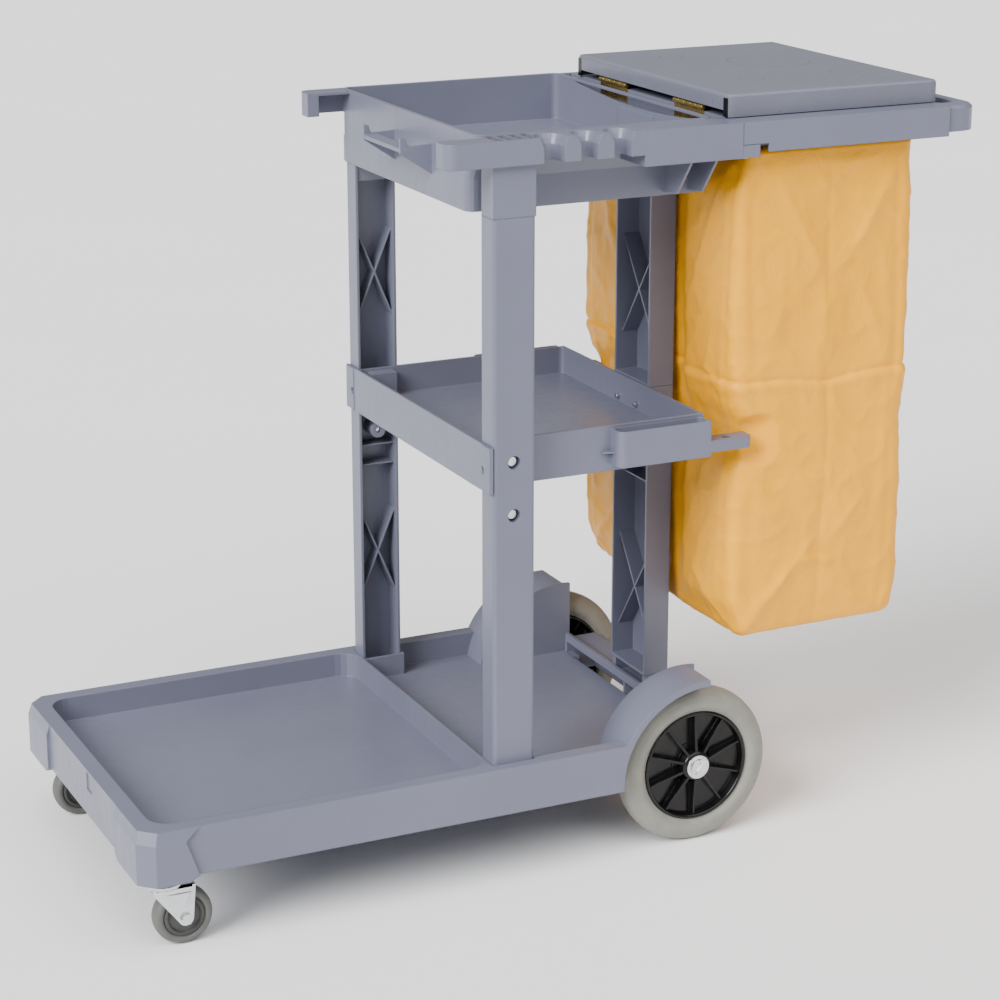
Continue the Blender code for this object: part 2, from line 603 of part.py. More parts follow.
# ---------------------------------------------------------------- middle shelf
def build_shelf():
    def body(bm):
        box(bm, SHELF_X0, SHELF_X1, -SHELF_HW, SHELF_HW, SHELF_Z0, SHELF_Z1)
    shelf = piece("middle_shelf", PLASTIC, body)

    def band(bm):
        box(bm, SHELF_X0, POST_X0 - GAP, -BAND_HW, BAND_HW, SHELF_Z0 + 0.0004, SHELF_Z1 + 0.0006)
    fuse(shelf, "band", band)

    def side_pockets(bm):
        for side in (-1, 1):
            r = 0.010
            corner = circle(POCKET_X0 + r, POCKET_HW - r, r, 5, math.pi / 2, math.pi / 2)
            pts = [(SHELF_X1 - 0.0007, SHELF_HW - 0.012), (SHELF_X1 - 0.0007, POCKET_HW)] + corner
            pts += [(POCKET_X0, SHELF_HW - 0.012)]
            prism(bm, [(x, side * y) for x, y in pts], "z", POCKET_Z0, POCKET_Z1)
            prism(bm, [(POCKET_X0 - 0.013, side * (SHELF_HW - 0.001)),
                       (POCKET_X0 - 0.013, side * (SHELF_HW + 0.004)),
                       (POCKET_X0 + 0.001, side * (SHELF_HW + 0.009)),
                       (POCKET_X0 + 0.001, side * (SHELF_HW - 0.001))], "z", SHELF_Z0 + 0.023,
                  SHELF_Z0 + 0.025)
    fuse(shelf, "side_pockets", side_pockets)

    def hooks(bm):
        for side in (-1, 1):
            y0, y1 = SHELF_HW - 0.0012, POCKET_HW
            pts = ((SHELF_X1 - 0.010, y0), (SHELF_X1 - 0.010, y1), (HOOK_X1 - 0.005, y1),
                   (HOOK_X1, y1 - 0.005), (HOOK_X1, y0))
            prism(bm, [(x, side * y) for x, y in pts], "z", HOOK_Z0, HOOK_Z1)
    fuse(shelf, "hooks", hooks)

    def hollows(bm):
        prism(bm, rounded(POST_X0 - GAP + 0.0002, SHELF_X1 - WALL, -SHELF_HW + WALL, SHELF_HW - WALL,
                          0.006, 3), "z", SHELF_FLOOR, SHELF_Z1 + 0.02)
        prism(bm, rounded(POST_X0 + 0.004, SHELF_X1 - WALL, -SHELF_HW + WALL, SHELF_HW - WALL,
                          0.006, 3), "z", SHELF_Z0 - 0.02, SHELF_FLOOR - 0.003)
        for side in (-1, 1):
            y0, y1 = sorted((side * (SHELF_HW + GAP), side * (POCKET_HW - POCKET_WALL)))
            prism(bm, rounded(POCKET_X0 + POCKET_WALL, SHELF_X1 - WALL, y0, y1, 0.006, 4), "z",
                  POCKET_Z0 + 0.003, POCKET_Z1 + 0.01)
    cut(shelf, "hollows", hollows)

    def bolt_blocks(bm):
        for side in (-1, 1):
            y0, y1 = sorted((side * (SHELF_HW - 0.018), side * (SHELF_HW - 0.001)))
            box(bm, POST_XM - 0.01505, POST_XM + 0.01895, y0, y1, SHELF_FLOOR - 0.001, SHELF_Z1 - 0.004)
            y0, y1 = sorted((side * (BAND_HW - 0.001), side * (BAND_HW - 0.024)))
            box(bm, SHELF_X0 - 0.0010, SHELF_X0 + 0.0010, y0, y1, SHELF_Z0 + 0.0010, SHELF_Z1)
    fuse(shelf, "bolt_blocks", bolt_blocks)

    def holes(bm):
        for side in (-1, 1):
            rod(bm, "y", POST_XM, POST_BOLT_Z[1], BOLT_R + GAP, side * (SHELF_HW - 0.0155),
                side * (SHELF_HW + 0.002), 20)
            rod(bm, "x", side * BAND_SCREW_Y, BAND_SCREW_Z, BAND_HEAD_R + GAP, SHELF_X0 - 0.005,
                POST_X0 + 0.0002, 20)
            rod(bm, "z", HOOK_HOLE_X, side * (POCKET_HW - 0.0105), 0.0050, HOOK_Z0 + 0.004,
                HOOK_Z1 + 0.01, 20)
        for y in (-SHELF_BOLT_Y, SHELF_BOLT_Y):
            rod(bm, "x", y, SHELF_BOLT_Z, BOLT_R + GAP, SHELF_X1 - 0.010, SHELF_X1 + 0.002, 20)
    cut(shelf, "holes", holes)
    return shelf


# ---------------------------------------------------------------- top tray
def basin_rings(levels, inset):
    """Plan rings of the basin, inset from its outer skin; the near wall leans out to the rim."""
    rings = []
    for z, near in levels:
        pts = rounded(TRAY_X0 + inset, TRAY_X1 - inset, -near + inset, TOP_HW - inset,
                      TRAY_R - inset, 4)
        rings.append([Vector((x, y, z)) for x, y in pts])
    return rings


def build_tray():
    tray = piece("top_tray", PLASTIC, lambda bm: loft(bm, basin_rings(
        ((TRAY_Z0, TRAY_NEAR), (LIP_Z0, TRAY_NEAR), (LIP_Z1, TRAY_LIP), (TRAY_Z1, TRAY_LIP)), 0.0)))

    def racks(bm):
        box(bm, TRAY_X0 + 0.001, BLOCK_X0 + 0.004, -TOP_HW, -TRAY_LIP + 0.0015, RACK_Z0,
            TRAY_Z1 - 0.0006)
        r = 0.012
        for side, inner in ((-1, TRAY_X0 + 0.004), (1, TRAY_X0 + TRAY_R)):
            corner = circle(ARM_X0 + r, TOP_HW - r, r, 5, math.pi / 2, math.pi / 2)
            pts = [(inner, ARM_HW), (inner, TOP_HW)] + corner + [(ARM_X0, ARM_HW)]
            prism(bm, [(x, side * y) for x, y in pts], "z", RACK_Z0, TRAY_Z1 - 0.0006)
    fuse(tray, "racks", racks)

    def blocks(bm):
        pts = ((BLOCK_X0, -TOP_HW - 0.0006), (BLOCK_X1, -TOP_HW - 0.0006), (BLOCK_X1, TOP_HW + 0.0006),
               (TRAY_X1 - 0.016, TOP_HW + 0.0006), (TRAY_X1 - 0.016, TOP_HW - 0.003),
               (TRAY_X1 - 0.002, TOP_HW - 0.016), (TRAY_X1 - 0.002, -TRAY_NEAR + 0.002),
               (BLOCK_X0, -TRAY_NEAR + 0.002))
        prism(bm, pts, "z", BLOCK_Z0, FRAME_Z1)
    fuse(tray, "blocks", blocks)

    def tongues(bm):
        for side in (-1, 1):
            y0, y1 = sorted((side * (TOP_HW - 0.034), side * (TOP_HW + 0.0002)))
            box(bm, BLOCK_X1 - 0.006, TONGUE_X1, y0, y1, BLOCK_Z0 + 0.0004, TONGUE_Z1)
    fuse(tray, "tongues", tongues)

    def basin(bm):
        loft(bm, basin_rings(((BASIN_FLOOR, TRAY_NEAR), (LIP_Z0 + 0.0015, TRAY_NEAR),
                              (LIP_Z1 + 0.0005, TRAY_LIP), (TRAY_Z1 + 0.02, TRAY_LIP)), TRAY_WALL))
        loft(bm, basin_rings(((TRAY_Z0 - 0.02, TRAY_NEAR), (BASIN_FLOOR - 0.0035, TRAY_NEAR)), WALL))
    cut(tray, "basin", basin)

    def hollows(bm):
        for side in (-1, 1):
            y0, y1 = sorted((side * (ARM_HW - 0.01), side * (TOP_HW - 0.0042)))
            box(bm, ARM_X0 + 0.015, TRAY_X0, y0, y1, RACK_Z0 - 0.01, TRAY_Z1 - 0.0045)
        box(bm, BLOCK_X0 + 0.004, BLOCK_X1 - 0.0036, -TOP_HW + 0.0040, -TRAY_LIP - 0.0006,
            BLOCK_Z0 - 0.01, FRAME_Z1 - 0.004)
        box(bm, TRAY_X1 + 0.0005, BLOCK_X1 - 0.0036, -TRAY_LIP + 0.003, TOP_HW - 0.004,
            BLOCK_Z0 - 0.01, REAR_LEDGE_Z - 0.0035)
    cut(tray, "hollows", hollows)

    def rear_rim(bm):
        box(bm, TRAY_X1, BLOCK_X1 + 0.01, -TRAY_LIP, TOP_HW - 0.006, REAR_LEDGE_Z, FRAME_Z1 + 0.01)
        y0, y1 = -TOP_HW + 0.0233, TOP_HW - 0.0283
        mid, half = (y0 + y1) / 2, (y1 - y0) / 2
        r = (half ** 2 + RIM_DIP ** 2) / (2 * RIM_DIP)
        sweep = math.asin(half / r)
        arc = circle(mid, TRAY_Z1 - RIM_DIP + r, r, 16, -math.pi / 2 - sweep, 2 * sweep)
        prism(bm, arc[1:-1], "x", TRAY_X1 - 0.016, TRAY_X1 + 0.0002)
    cut(tray, "rear_rim", rear_rim)

    def cells(bm):
        pitch = (CELLS_X1 - CELLS_X0 + CELL_T) / CELLS
        for i in range(CELLS):
            x = CELLS_X0 + pitch * i
            box(bm, x, x + pitch - CELL_T, -TOP_HW + 0.0055, -TRAY_LIP - 0.0025, RACK_Z0 + 0.004,
                TRAY_Z1 + 0.01)
        for a, b in NOTCHES:
            r = (b - a) / 2
            back = circle((a + b) / 2, TOP_HW - NOTCH_DEPTH + r, r, 10, math.pi, math.pi)
            pts = back + [(b, TOP_HW + 0.01), (a, TOP_HW + 0.01)]
            prism(bm, [(x, -y) for x, y in pts], "z", RACK_Z0 - 0.01, TRAY_Z1 - 0.0118)
    cut(tray, "cells", cells)

    def flares(bm):
        for a, b in NOTCHES:
            rings = []
            for z, grow in ((TRAY_Z1 - 0.0120, 0.0), (TRAY_Z1 - 0.0060, 0.0022),
                            (TRAY_Z1 + 0.0010, NOTCH_FLARE)):
                r = (b - a) / 2 + grow
                back = circle((a + b) / 2, TOP_HW - NOTCH_DEPTH + (b - a) / 2, r, 10, math.pi,
                              math.pi)
                pts = back + [(b + grow, TOP_HW + 0.01), (a - grow, TOP_HW + 0.01)]
                rings.append([Vector((x, -y, z)) for x, y in pts])
            loft(bm, rings)
    cut(tray, "flares", flares)

    def stiffeners(bm):
        for x in (BLOCK_X1 - 0.066, BLOCK_X1 - 0.033):
            pts = ((TOP_HW - 0.001, BLOCK_Z0 + 0.0006), (TOP_HW - 0.0035, FRAME_Z1 - 0.0038),
                   (TRAY_LIP + 0.0005, FRAME_Z1 - 0.0038), (TRAY_LIP, LIP_Z1), (TRAY_NEAR - 0.001, LIP_Z0),
                   (TRAY_NEAR - 0.001, TRAY_Z0 + 0.004), (TRAY_NEAR + 0.034, TRAY_Z0 + 0.007))
            prism(bm, [(-y, z) for y, z in pts], "x", x - 0.0015, x + 0.0015)
    fuse(tray, "stiffeners", stiffeners)

    def post_heads(bm):
        box(bm, POST_X0, POST_X1, -POST_OUT, -POST_IN, POST_TOP_Z + GAP, RACK_Z0 + 0.002)
        box(bm, POST_X0, POST_X1, POST_IN - 0.001, TOP_HW - 0.001, TRAY_Z0, BASIN_FLOOR - 0.001)
        box(bm, REAR_X0, REAR_X1, -REAR_HW, REAR_HW, REAR_TOP_Z + GAP, BLOCK_Z0 + 0.0008)
        box(bm, REAR_X0, BLOCK_X1 - 0.001, -REAR_HW, REAR_HW, BLOCK_Z0 + 0.0004,
            REAR_LEDGE_Z - 0.001)
    fuse(tray, "post_heads", post_heads)

    def post_room(bm):
        box(bm, POST_X0 - GAP, POST_X1 + GAP, POST_IN - GAP, POST_OUT + GAP, TRAY_Z0 - 0.01,
            POST_TOP_Z + GAP)
        box(bm, REAR_X0 - GAP, REAR_X1 + GAP, -REAR_HW - GAP, REAR_HW + GAP, TRAY_Z0 - 0.01,
            REAR_TOP_Z + GAP)
    cut(tray, "post_room", post_room)

    def post_plugs(bm):
        t = WALL + 0.0006
        for side in (-1, 1):
            y0, y1 = sorted((side * (POST_IN + 0.002), side * (POST_OUT - t)))
            box(bm, POST_X0 + t, POST_X1 - t, y0, y1, POST_TOP_Z - PLUG_L, POST_TOP_Z + 0.004)
        box(bm, REAR_X0 + 0.002, REAR_X1 - t, -REAR_HW + t, REAR_HW - t, REAR_TOP_Z - PLUG_L,
            REAR_TOP_Z + 0.004)
    fuse(tray, "post_plugs", post_plugs)

    def head_hollow(bm):
        box(bm, POST_X0 + WALL, POST_X1 - WALL, -POST_OUT + WALL, -POST_IN + 0.001,
            POST_TOP_Z + 0.006, RACK_Z0 - 0.002)
    cut(tray, "head_hollow", head_hollow)

    def tool_bracket(bm):
        out = TRAY_X0 - BRACKET_L
        for side in (-1, 1):
            pts = ((TRAY_X0 + 0.001, -0.028), (TRAY_X0 + 0.001, -0.064), (out, -0.037),
                   (out, -0.019), (out + 0.006, -0.020), (out + 0.009, -0.029))
            y = side * BRACKET_HW
            prism(bm, [(x, TRAY_Z1 + z) for x, z in pts], "y", y - 0.0015, y + 0.0015)
        box(bm, out + 0.0005, out + 0.0180, -BRACKET_HW, BRACKET_HW, TRAY_Z1 - 0.0338,
            TRAY_Z1 - 0.0308)
        box(bm, out + 0.0005, out + 0.0030, -BRACKET_HW, BRACKET_HW, TRAY_Z1 - 0.036, TRAY_Z1 - 0.0315)
    fuse(tray, "tool_bracket", tool_bracket)

    def screw_holes(bm):
        for side in (-1, 1):
            rod(bm, "z", FRAME_SCREW_X, side * FRAME_SCREW_Y, FRAME_SCREW_R + GAP, BLOCK_Z0 - 0.01,
                TONGUE_Z1 + 0.01, 16)
    cut(tray, "screw_holes", screw_holes)
    return tray


# ---------------------------------------------------------------- bag frame with handle
def build_frame():
    def body(bm):
        box(bm, FRAME_X0, FRAME_X1, -TOP_HW, TOP_HW, FRAME_Z0, FRAME_Z1)
    frame = piece("bag_frame", PLASTIC, body)

    def handle(bm):
        pts = rounded(FRAME_X1 - 0.040, HANDLE_X1, -HANDLE_HW, HANDLE_HW, HANDLE_R, 7)
        low = [Vector((x, y, FRAME_Z0 + 0.0045)) for x, y in pts]
        shrink = 0.004
        rim = rounded(FRAME_X1 - 0.040, HANDLE_X1 - shrink, -HANDLE_HW + shrink,
                      HANDLE_HW - shrink, HANDLE_R - shrink, 7)
        mid = [Vector((x, y, FRAME_Z1 - shrink)) for x, y in pts]
        top = [Vector((x, y, FRAME_Z1 - 0.0005)) for x, y in rim]
        loft(bm, (low, mid, top))
    fuse(frame, "handle", handle)

    def openings(bm):
        prism(bm, rounded(OPEN_X0, OPEN_X1, -OPEN_HW, OPEN_HW, 0.012, 4), "z", FRAME_Z0 - 0.02,
              FRAME_Z1 + 0.02)
        prism(bm, rounded(FRAME_X1 + 0.001, HANDLE_X1 - HANDLE_GRIP, -HANDLE_HW + 0.026,
                          HANDLE_HW - 0.026, 0.010, 4), "z", FRAME_Z0 - 0.02, FRAME_Z1 + 0.02)
        box(bm, FRAME_X0 - 0.01, FRAME_STEP_X, -TOP_HW - 0.01, TOP_HW + 0.01, FRAME_Z0 - 0.02,
            FRAME_STEP_Z)
    cut(frame, "openings", openings)

    def rail_channels(bm):
        for side in (-1, 1):
            y0, y1 = sorted((side * (OPEN_HW + WALL), side * (TOP_HW - WALL)))
            box(bm, FRAME_X0 + WALL, FRAME_X1 - WALL, y0, y1, FRAME_Z0 - 0.02, FRAME_Z1 - WALL)
    cut(frame, "rail_channels", rail_channels)

    def cross_channels(bm):
        for x0, x1 in ((FRAME_X0 + WALL, OPEN_X0 - WALL), (OPEN_X1 + WALL, FRAME_X1 - WALL)):
            box(bm, x0, x1, -OPEN_HW - WALL - 0.001, OPEN_HW + WALL + 0.001, FRAME_Z0 - 0.02,
                FRAME_Z1 - WALL)
    cut(frame, "cross_channels", cross_channels)

    def screw_bosses(bm):
        for side in (-1, 1):
            rod(bm, "z", FRAME_SCREW_X, side * FRAME_SCREW_Y, FRAME_SCREW_R + 0.0041, FRAME_STEP_Z,
                FRAME_Z1 - 0.001, 20)
    fuse(frame, "screw_bosses", screw_bosses)

    def screw_holes(bm):
        for side in (-1, 1):
            rod(bm, "z", FRAME_SCREW_X, side * FRAME_SCREW_Y, FRAME_SCREW_R + GAP,
                FRAME_STEP_Z - 0.01, FRAME_STEP_Z + 0.014, 16)
    cut(frame, "screw_holes", screw_holes)
    return frame


# ---------------------------------------------------------------- lid and hinges
def build_lid():
    def body(bm):
        r = 0.0045
        rings = []
        for z, inset in ((LID_Z0, 0.0), (LID_Z1 - r, 0.0), (LID_Z1 - 0.3 * r, 0.3 * r),
                         (LID_Z1, r)):
            pts = rounded(LID_X0 + inset, LID_X1 - inset, -LID_HW + inset, LID_HW - inset, 0.006, 3)
            rings.append([Vector((x, y, z)) for x, y in pts])
        loft(bm, rings)
    lid = piece("lid", PLASTIC, body, (PIN_X, 0.0, PIN_Z))

    def hollow(bm):
        prism(bm, rounded(LID_X0 + LID_T, LID_X1 - LID_T, -LID_HW + LID_T, LID_HW - LID_T, 0.004, 3),
              "z", LID_Z0 - 0.02, LID_Z1 - LID_T)
        box(bm, LID_X0 - 0.01, LID_X0 + LID_T + 0.0002, -LID_HW + 0.008, LID_HW - 0.008,
            LID_Z0 - 0.02, LID_CUT_Z)
        for side in (-1, 1):
            y0, y1 = sorted(side * (LID_HW - slit) for slit in LID_SLIT)
            box(bm, LID_X0 - 0.01, LID_X0 + LID_T - 0.0005, y0, y1, LID_Z0 - 0.01, LID_Z1 - 0.0040)
    cut(lid, "hollow", hollow)

    def ribs(bm):
        for y in (-LID_RIB_Y, LID_RIB_Y):
            box(bm, LID_X0 + LID_T - 0.0005, LID_X1 - LID_T + 0.0005, y - 0.001, y + 0.001,
                LID_Z1 - 0.013, LID_Z1 - LID_T + 0.0005)
    fuse(lid, "ribs", ribs)
    return lid


def knuckle_spans(y_mid, moving):
    """Spans of every other knuckle of a hinge barrel."""
    step = HINGE_L / HINGE_PARTS
    start = y_mid - HINGE_L / 2
    first = 1 if moving else 0
    return [(start + step * i + KNUCKLE_GAP, start + step * (i + 1) - KNUCKLE_GAP)
            for i in range(first, HINGE_PARTS, 2)]


def build_hinge(label, y_mid):
    y0, y1 = y_mid - HINGE_L / 2, y_mid + HINGE_L / 2
    fixed_spans = knuckle_spans(y_mid, False)
    moving_spans = knuckle_spans(y_mid, True)
    back = FRAME_X0 - GAP
    low = PIN_Z - KNUCKLE_R

    def fixed(bm):
        box(bm, back - LEAF_T, back, y0, y1, REAR_LEDGE_Z + 0.0012, low - 0.0006)
    leaf = piece(label + "_hinge_frame_leaf", BRASS, fixed)

    def fixed_barrel(bm):
        for a, b in fixed_spans:
            rod(bm, "y", PIN_X, PIN_Z, KNUCKLE_R, a, b, 18)
            box(bm, back - LEAF_T, back, a, b, low - 0.001, PIN_Z)
    fuse(leaf, "knuckles", fixed_barrel)
    cut(leaf, "pin_hole",
        lambda bm: rod(bm, "y", PIN_X, PIN_Z, PIN_R + PIN_FIT, y0 - 0.01, y1 + 0.01, 16))

    inner = LID_X0 + LID_T + GAP
    top = LID_CUT_Z + 0.014

    def moving(bm):
        box(bm, inner, inner + LEAF_T, y0, y1, PIN_Z - 0.0010, top)
    lid_leaf = piece(label + "_hinge_lid_leaf", BRASS, moving, (PIN_X, y_mid, PIN_Z))

    def clear_fixed(bm):
        for a, b in fixed_spans:
            box(bm, PIN_X - 0.01, PIN_X + KNUCKLE_R + 0.003, a - 2 * KNUCKLE_GAP, b + 2 * KNUCKLE_GAP,
                low - 0.01, PIN_Z + KNUCKLE_R + 0.0005)
    cut(lid_leaf, "clear_fixed", clear_fixed)

    def moving_barrel(bm):
        for a, b in moving_spans:
            rod(bm, "y", PIN_X, PIN_Z, KNUCKLE_R, a, b, 18)
    fuse(lid_leaf, "knuckles", moving_barrel)
    cut(lid_leaf, "pin_hole",
        lambda bm: rod(bm, "y", PIN_X, PIN_Z, PIN_R + PIN_FIT, y0 - 0.01, y1 + 0.01, 16))

    def pin(bm):
        rod(bm, "y", PIN_X, PIN_Z, PIN_R, y0 - 0.0008, y1 + 0.0008, 16)
    piece(label + "_hinge_pin", BRASS, pin)


# ---------------------------------------------------------------- rear wheels
def build_axle():
    end = WHEEL_Y + HUB_OUT + AXLE_END
    piece("rear_axle", ZINC, lambda bm: rod(bm, "y", WHEEL_X, WHEEL_R, AXLE_R, -end, end, 24))


def spoke_blades(bm, centre, rim_in, half):
    """Radial blades that stiffen both faces of the hub disc."""
    for i in range(SPOKES):
        angle = 2 * math.pi * (i + 0.5) / SPOKES
        turn = Matrix.Translation(centre) @ Matrix.Rotation(angle, 4, "Y")
        outline = ((HUB_BOSS_R - 0.001, -half + 0.004), (rim_in + 0.001, -half + 0.007),
                   (rim_in + 0.001, half - 0.007), (HUB_BOSS_R - 0.001, half - 0.004))
        low = [bm.verts.new(turn @ Vector((u, v, -0.0016))) for u, v in outline]
        high = [bm.verts.new(turn @ Vector((u, v, 0.0016))) for u, v in outline]
        faces = [bm.faces.new(low), bm.faces.new(high)]
        for k in range(4):
            j = (k + 1) % 4
            faces.append(bm.faces.new((low[k], low[j], high[j], high[k])))
        bmesh.ops.recalc_face_normals(bm, faces=faces)


def build_rear_wheel(label, side):
    centre = (WHEEL_X, side * WHEEL_Y, WHEEL_R)
    bore_r = AXLE_R + AXLE_FIT
    half = WHEEL_W / 2
    rim_in = HUB_R - 0.0050
    dish = 0.0020
    profile = ((bore_r, HUB_OUT), (HUB_BOSS_R - 0.001, HUB_OUT), (HUB_BOSS_R, HUB_OUT - 0.001),
               (HUB_BOSS_R, dish), (rim_in, dish), (rim_in, half - 0.0035), (HUB_R - 0.0010, half - 0.0025),
               (HUB_R, half - 0.0035), (HUB_R, -half + 0.0035), (HUB_R - 0.0010, -half + 0.0025),
               (rim_in, -half + 0.0035), (rim_in, -dish), (HUB_BOSS_R, -dish),
               (HUB_BOSS_R, -HUB_OUT + 0.001), (HUB_BOSS_R - 0.001, -HUB_OUT), (bore_r, -HUB_OUT))
    hub = spun(label + "_wheel_hub", BLACK, profile, centre, steps=40)

    fuse(hub, "spokes", lambda bm: spoke_blades(bm, centre, rim_in, half))

    tyre = [(HUB_R + 0.0002, half - 0.0045), (HUB_R + 0.004, half - 0.0030),
            (HUB_R + 0.011, half - 0.0005), (HUB_R + 0.018, half - 0.0010),
            (WHEEL_R - 0.0070, half - 0.0030), (WHEEL_R - 0.0032, half - 0.0062),
            (WHEEL_R - 0.0008, half - 0.0105), (WHEEL_R, half - 0.0150)]
    tyre += [(r, -w) for r, w in reversed(tyre)]
    spun(label + "_wheel_tyre", RUBBER, tyre, centre, steps=44)

    y0 = side * (WHEEL_Y + HUB_OUT + GAP)
    y1 = y0 + side * WASHER_T
    y2 = y1 + side * GAP
    y3 = y2 + side * AXLE_RING_T
    for name, r, bore, a, b in (("_wheel_washer", WASHER_R, AXLE_R + GAP, y0, y1),
                                ("_axle_ring", AXLE_RING_R, AXLE_R + 0.0001, y2, y3)):
        ob = piece(label + name, ZINC, lambda bm: rod(bm, "y", WHEEL_X, WHEEL_R, r, a, b, 36))
        cut(ob, "bore", lambda bm: rod(bm, "y", WHEEL_X, WHEEL_R, bore, a - side * 0.01,
                                       b + side * 0.01, 24))


# ---------------------------------------------------------------- casters
def build_caster(label, side):
    x, y = CASTER_X, side * CASTER_Y
    wheel_x = CASTER_X + CASTER_TRAIL
    top = BUMPER_Z0 - GAP

    def mount(bm):
        rod(bm, "z", x, y, CASTER_RACE_R, top - CASTER_PLATE_T, top, 36)
    stem = piece(label + "_caster_mount", ZINC, mount)
    fuse(stem, "stem", lambda bm: rod(bm, "z", x, y, STEM_R, top - 0.001,
                                     FLOOR_Z - FLOOR_T - 0.001, 24))

    race_top = top - CASTER_PLATE_T - GAP
    fork_top = FORK_TOP_Z + FORK_T

    def race(bm):
        rings = []
        for z, r in ((FORK_TOP_Z, CASTER_RACE_R - 0.002), (fork_top, CASTER_RACE_R - 0.001),
                     (fork_top + 0.0012, CASTER_RACE_R + 0.0012), (race_top - 0.0030, CASTER_RACE_R + 0.0016),
                     (race_top - 0.0012, CASTER_RACE_R + 0.0006), (race_top, CASTER_RACE_R - 0.0020)):
            rings.append([Vector((px, py, z)) for px, py in circle(x, y, r, 36)])
        loft(bm, rings)
    fork = piece(label + "_caster_fork", ZINC, race, (x, y, 0.0))

    inner = CASTER_W / 2 + CASTER_SIDE_ROOM

    def crown(bm):
        pts = ((x - 0.016, y - inner - FORK_T), (wheel_x + 0.012, y - inner - FORK_T),
               (wheel_x + 0.012, y + inner + FORK_T), (x - 0.016, y + inner + FORK_T))
        prism(bm, pts, "z", FORK_TOP_Z, fork_top)
    fuse(fork, "crown", crown)

    def legs(bm):
        tip = circle(wheel_x, CASTER_R, 0.0085, 8, -math.pi * 0.80, math.pi * 0.78)
        pts = tip + [(wheel_x + 0.012, FORK_TOP_Z + 0.0007), (x - 0.016, FORK_TOP_Z + 0.0007)]
        for face in (-1, 1):
            prism(bm, pts, "y", y + face * inner, y + face * (inner + FORK_T))
    fuse(fork, "legs", legs)
    cut(fork, "axle_hole", lambda bm: rod(bm, "y", wheel_x, CASTER_R, CASTER_BOLT_R + GAP, y - 0.03,
                                          y + 0.03, 20))

    centre = (wheel_x, y, CASTER_R)
    half = CASTER_W / 2
    bore = CASTER_BOLT_R + GAP
    profile = ((bore, half), (bore + 0.0028, half), (bore + 0.0038, half - 0.0020),
               (CASTER_HUB_R - 0.0045, half - 0.0055),
               (CASTER_HUB_R - 0.0015, half - 0.0015), (CASTER_HUB_R, half - 0.0020))
    profile += tuple((r, -w) for r, w in reversed(profile))
    spun(label + "_caster_hub", DARK, profile, centre, steps=24)
    tyre = [(CASTER_HUB_R + 0.0002, half - 0.0022), (CASTER_HUB_R + 0.0030, half - 0.0008),
            (CASTER_R - 0.0045, half - 0.0012), (CASTER_R - 0.0014, half - 0.0038),
            (CASTER_R, half - 0.0080)]
    tyre += [(r, -w) for r, w in reversed(tyre)]
    spun(label + "_caster_tyre", RUBBER, tyre, centre, steps=30)

    head = inner + FORK_T + GAP

    def bolt(bm):
        rod(bm, "y", wheel_x, CASTER_R, CASTER_BOLT_R, y - head - 0.0004, y + head + 0.0070, 20)
    axle = piece(label + "_caster_bolt", ZINC, bolt)
    fuse(axle, "head", lambda bm: rod(bm, "y", wheel_x, CASTER_R, CASTER_BOLT_R + 0.0031, y - head,
                                      y - head - 0.0040, 6))
    nut = piece(label + "_caster_nut", ZINC, lambda bm: rod(bm, "y", wheel_x, CASTER_R,
                                                            CASTER_BOLT_R + 0.0033, y + head,
                                                            y + head + 0.0050, 6))
    cut(nut, "thread", lambda bm: rod(bm, "y", wheel_x, CASTER_R, CASTER_BOLT_R + 0.0001, y,
                                      y + 0.04, 20))


# ---------------------------------------------------------------- waste bag
def bag_ring(z, x0, x1, hw, r, t):
    return [Vector((x, y, z)) for x, y in rounded(x0 + t, x1 - t, -hw + t, hw - t, r - t, 5)]


def build_bag():
    hang = ((BAG_Z0, 0.030, 0.018, 0.035, 0.020), (BAG_Z0 + 0.010, 0.008, 0.006, 0.015, 0.030),
            (BAG_Z0 + 0.048, 0.0, 0.002, 0.004, 0.035), (HOOK_Z0 - 0.030, 0.004, 0.0, 0.001, 0.035),
            (HOOK_Z0 + 0.007, 0.010, 0.0, 0.001, 0.035), (HOOK_Z1 + 0.031, 0.004, 0.0, 0.001, 0.035),
            (FRAME_Z0 - 0.119, 0.0, 0.003, 0.0, 0.033), (FRAME_Z0 - 0.019, 0.0, 0.004, 0.0, 0.030),
            (FRAME_Z0 - 0.0045, 0.008, 0.004, 0.004, 0.020))
    shape = [(z, BAG_X0 + a, BAG_X1 - b, BAG_HW - c, r) for z, a, b, c, r in hang]
    shape += [(z, OPEN_X0 + GAP, OPEN_X1 - GAP, OPEN_HW - GAP, 0.013)
              for z in (FRAME_Z0 - 0.0008, FRAME_Z1 - 0.008)]

    def shell(bm):
        outer = [bag_ring(z, x0, x1, hw, r, 0.0) for z, x0, x1, hw, r in shape]
        inner = [bag_ring(z, x0, x1, hw, r, BAG_T) for z, x0, x1, hw, r in shape]
        for p in inner[0]:
            p.z += BAG_T
        loft(bm, outer + inner[::-1])
    piece("waste_bag", VINYL, shell)


# ---------------------------------------------------------------- fasteners
def screw(name, mat, axis, u, v, head_r, shank_r, seat, head, length, sides=24):
    """Pan screw; the head stands outward from the seat, the shank runs inward."""
    out = 1 if head > 0 else -1
    ob = piece(name, mat, lambda bm: rod(bm, axis, u, v, head_r, seat, seat + head, sides))
    fuse(ob, "shank", lambda bm: rod(bm, axis, u, v, shank_r, seat + out * 0.0004, seat - out * length, 16))
    return ob


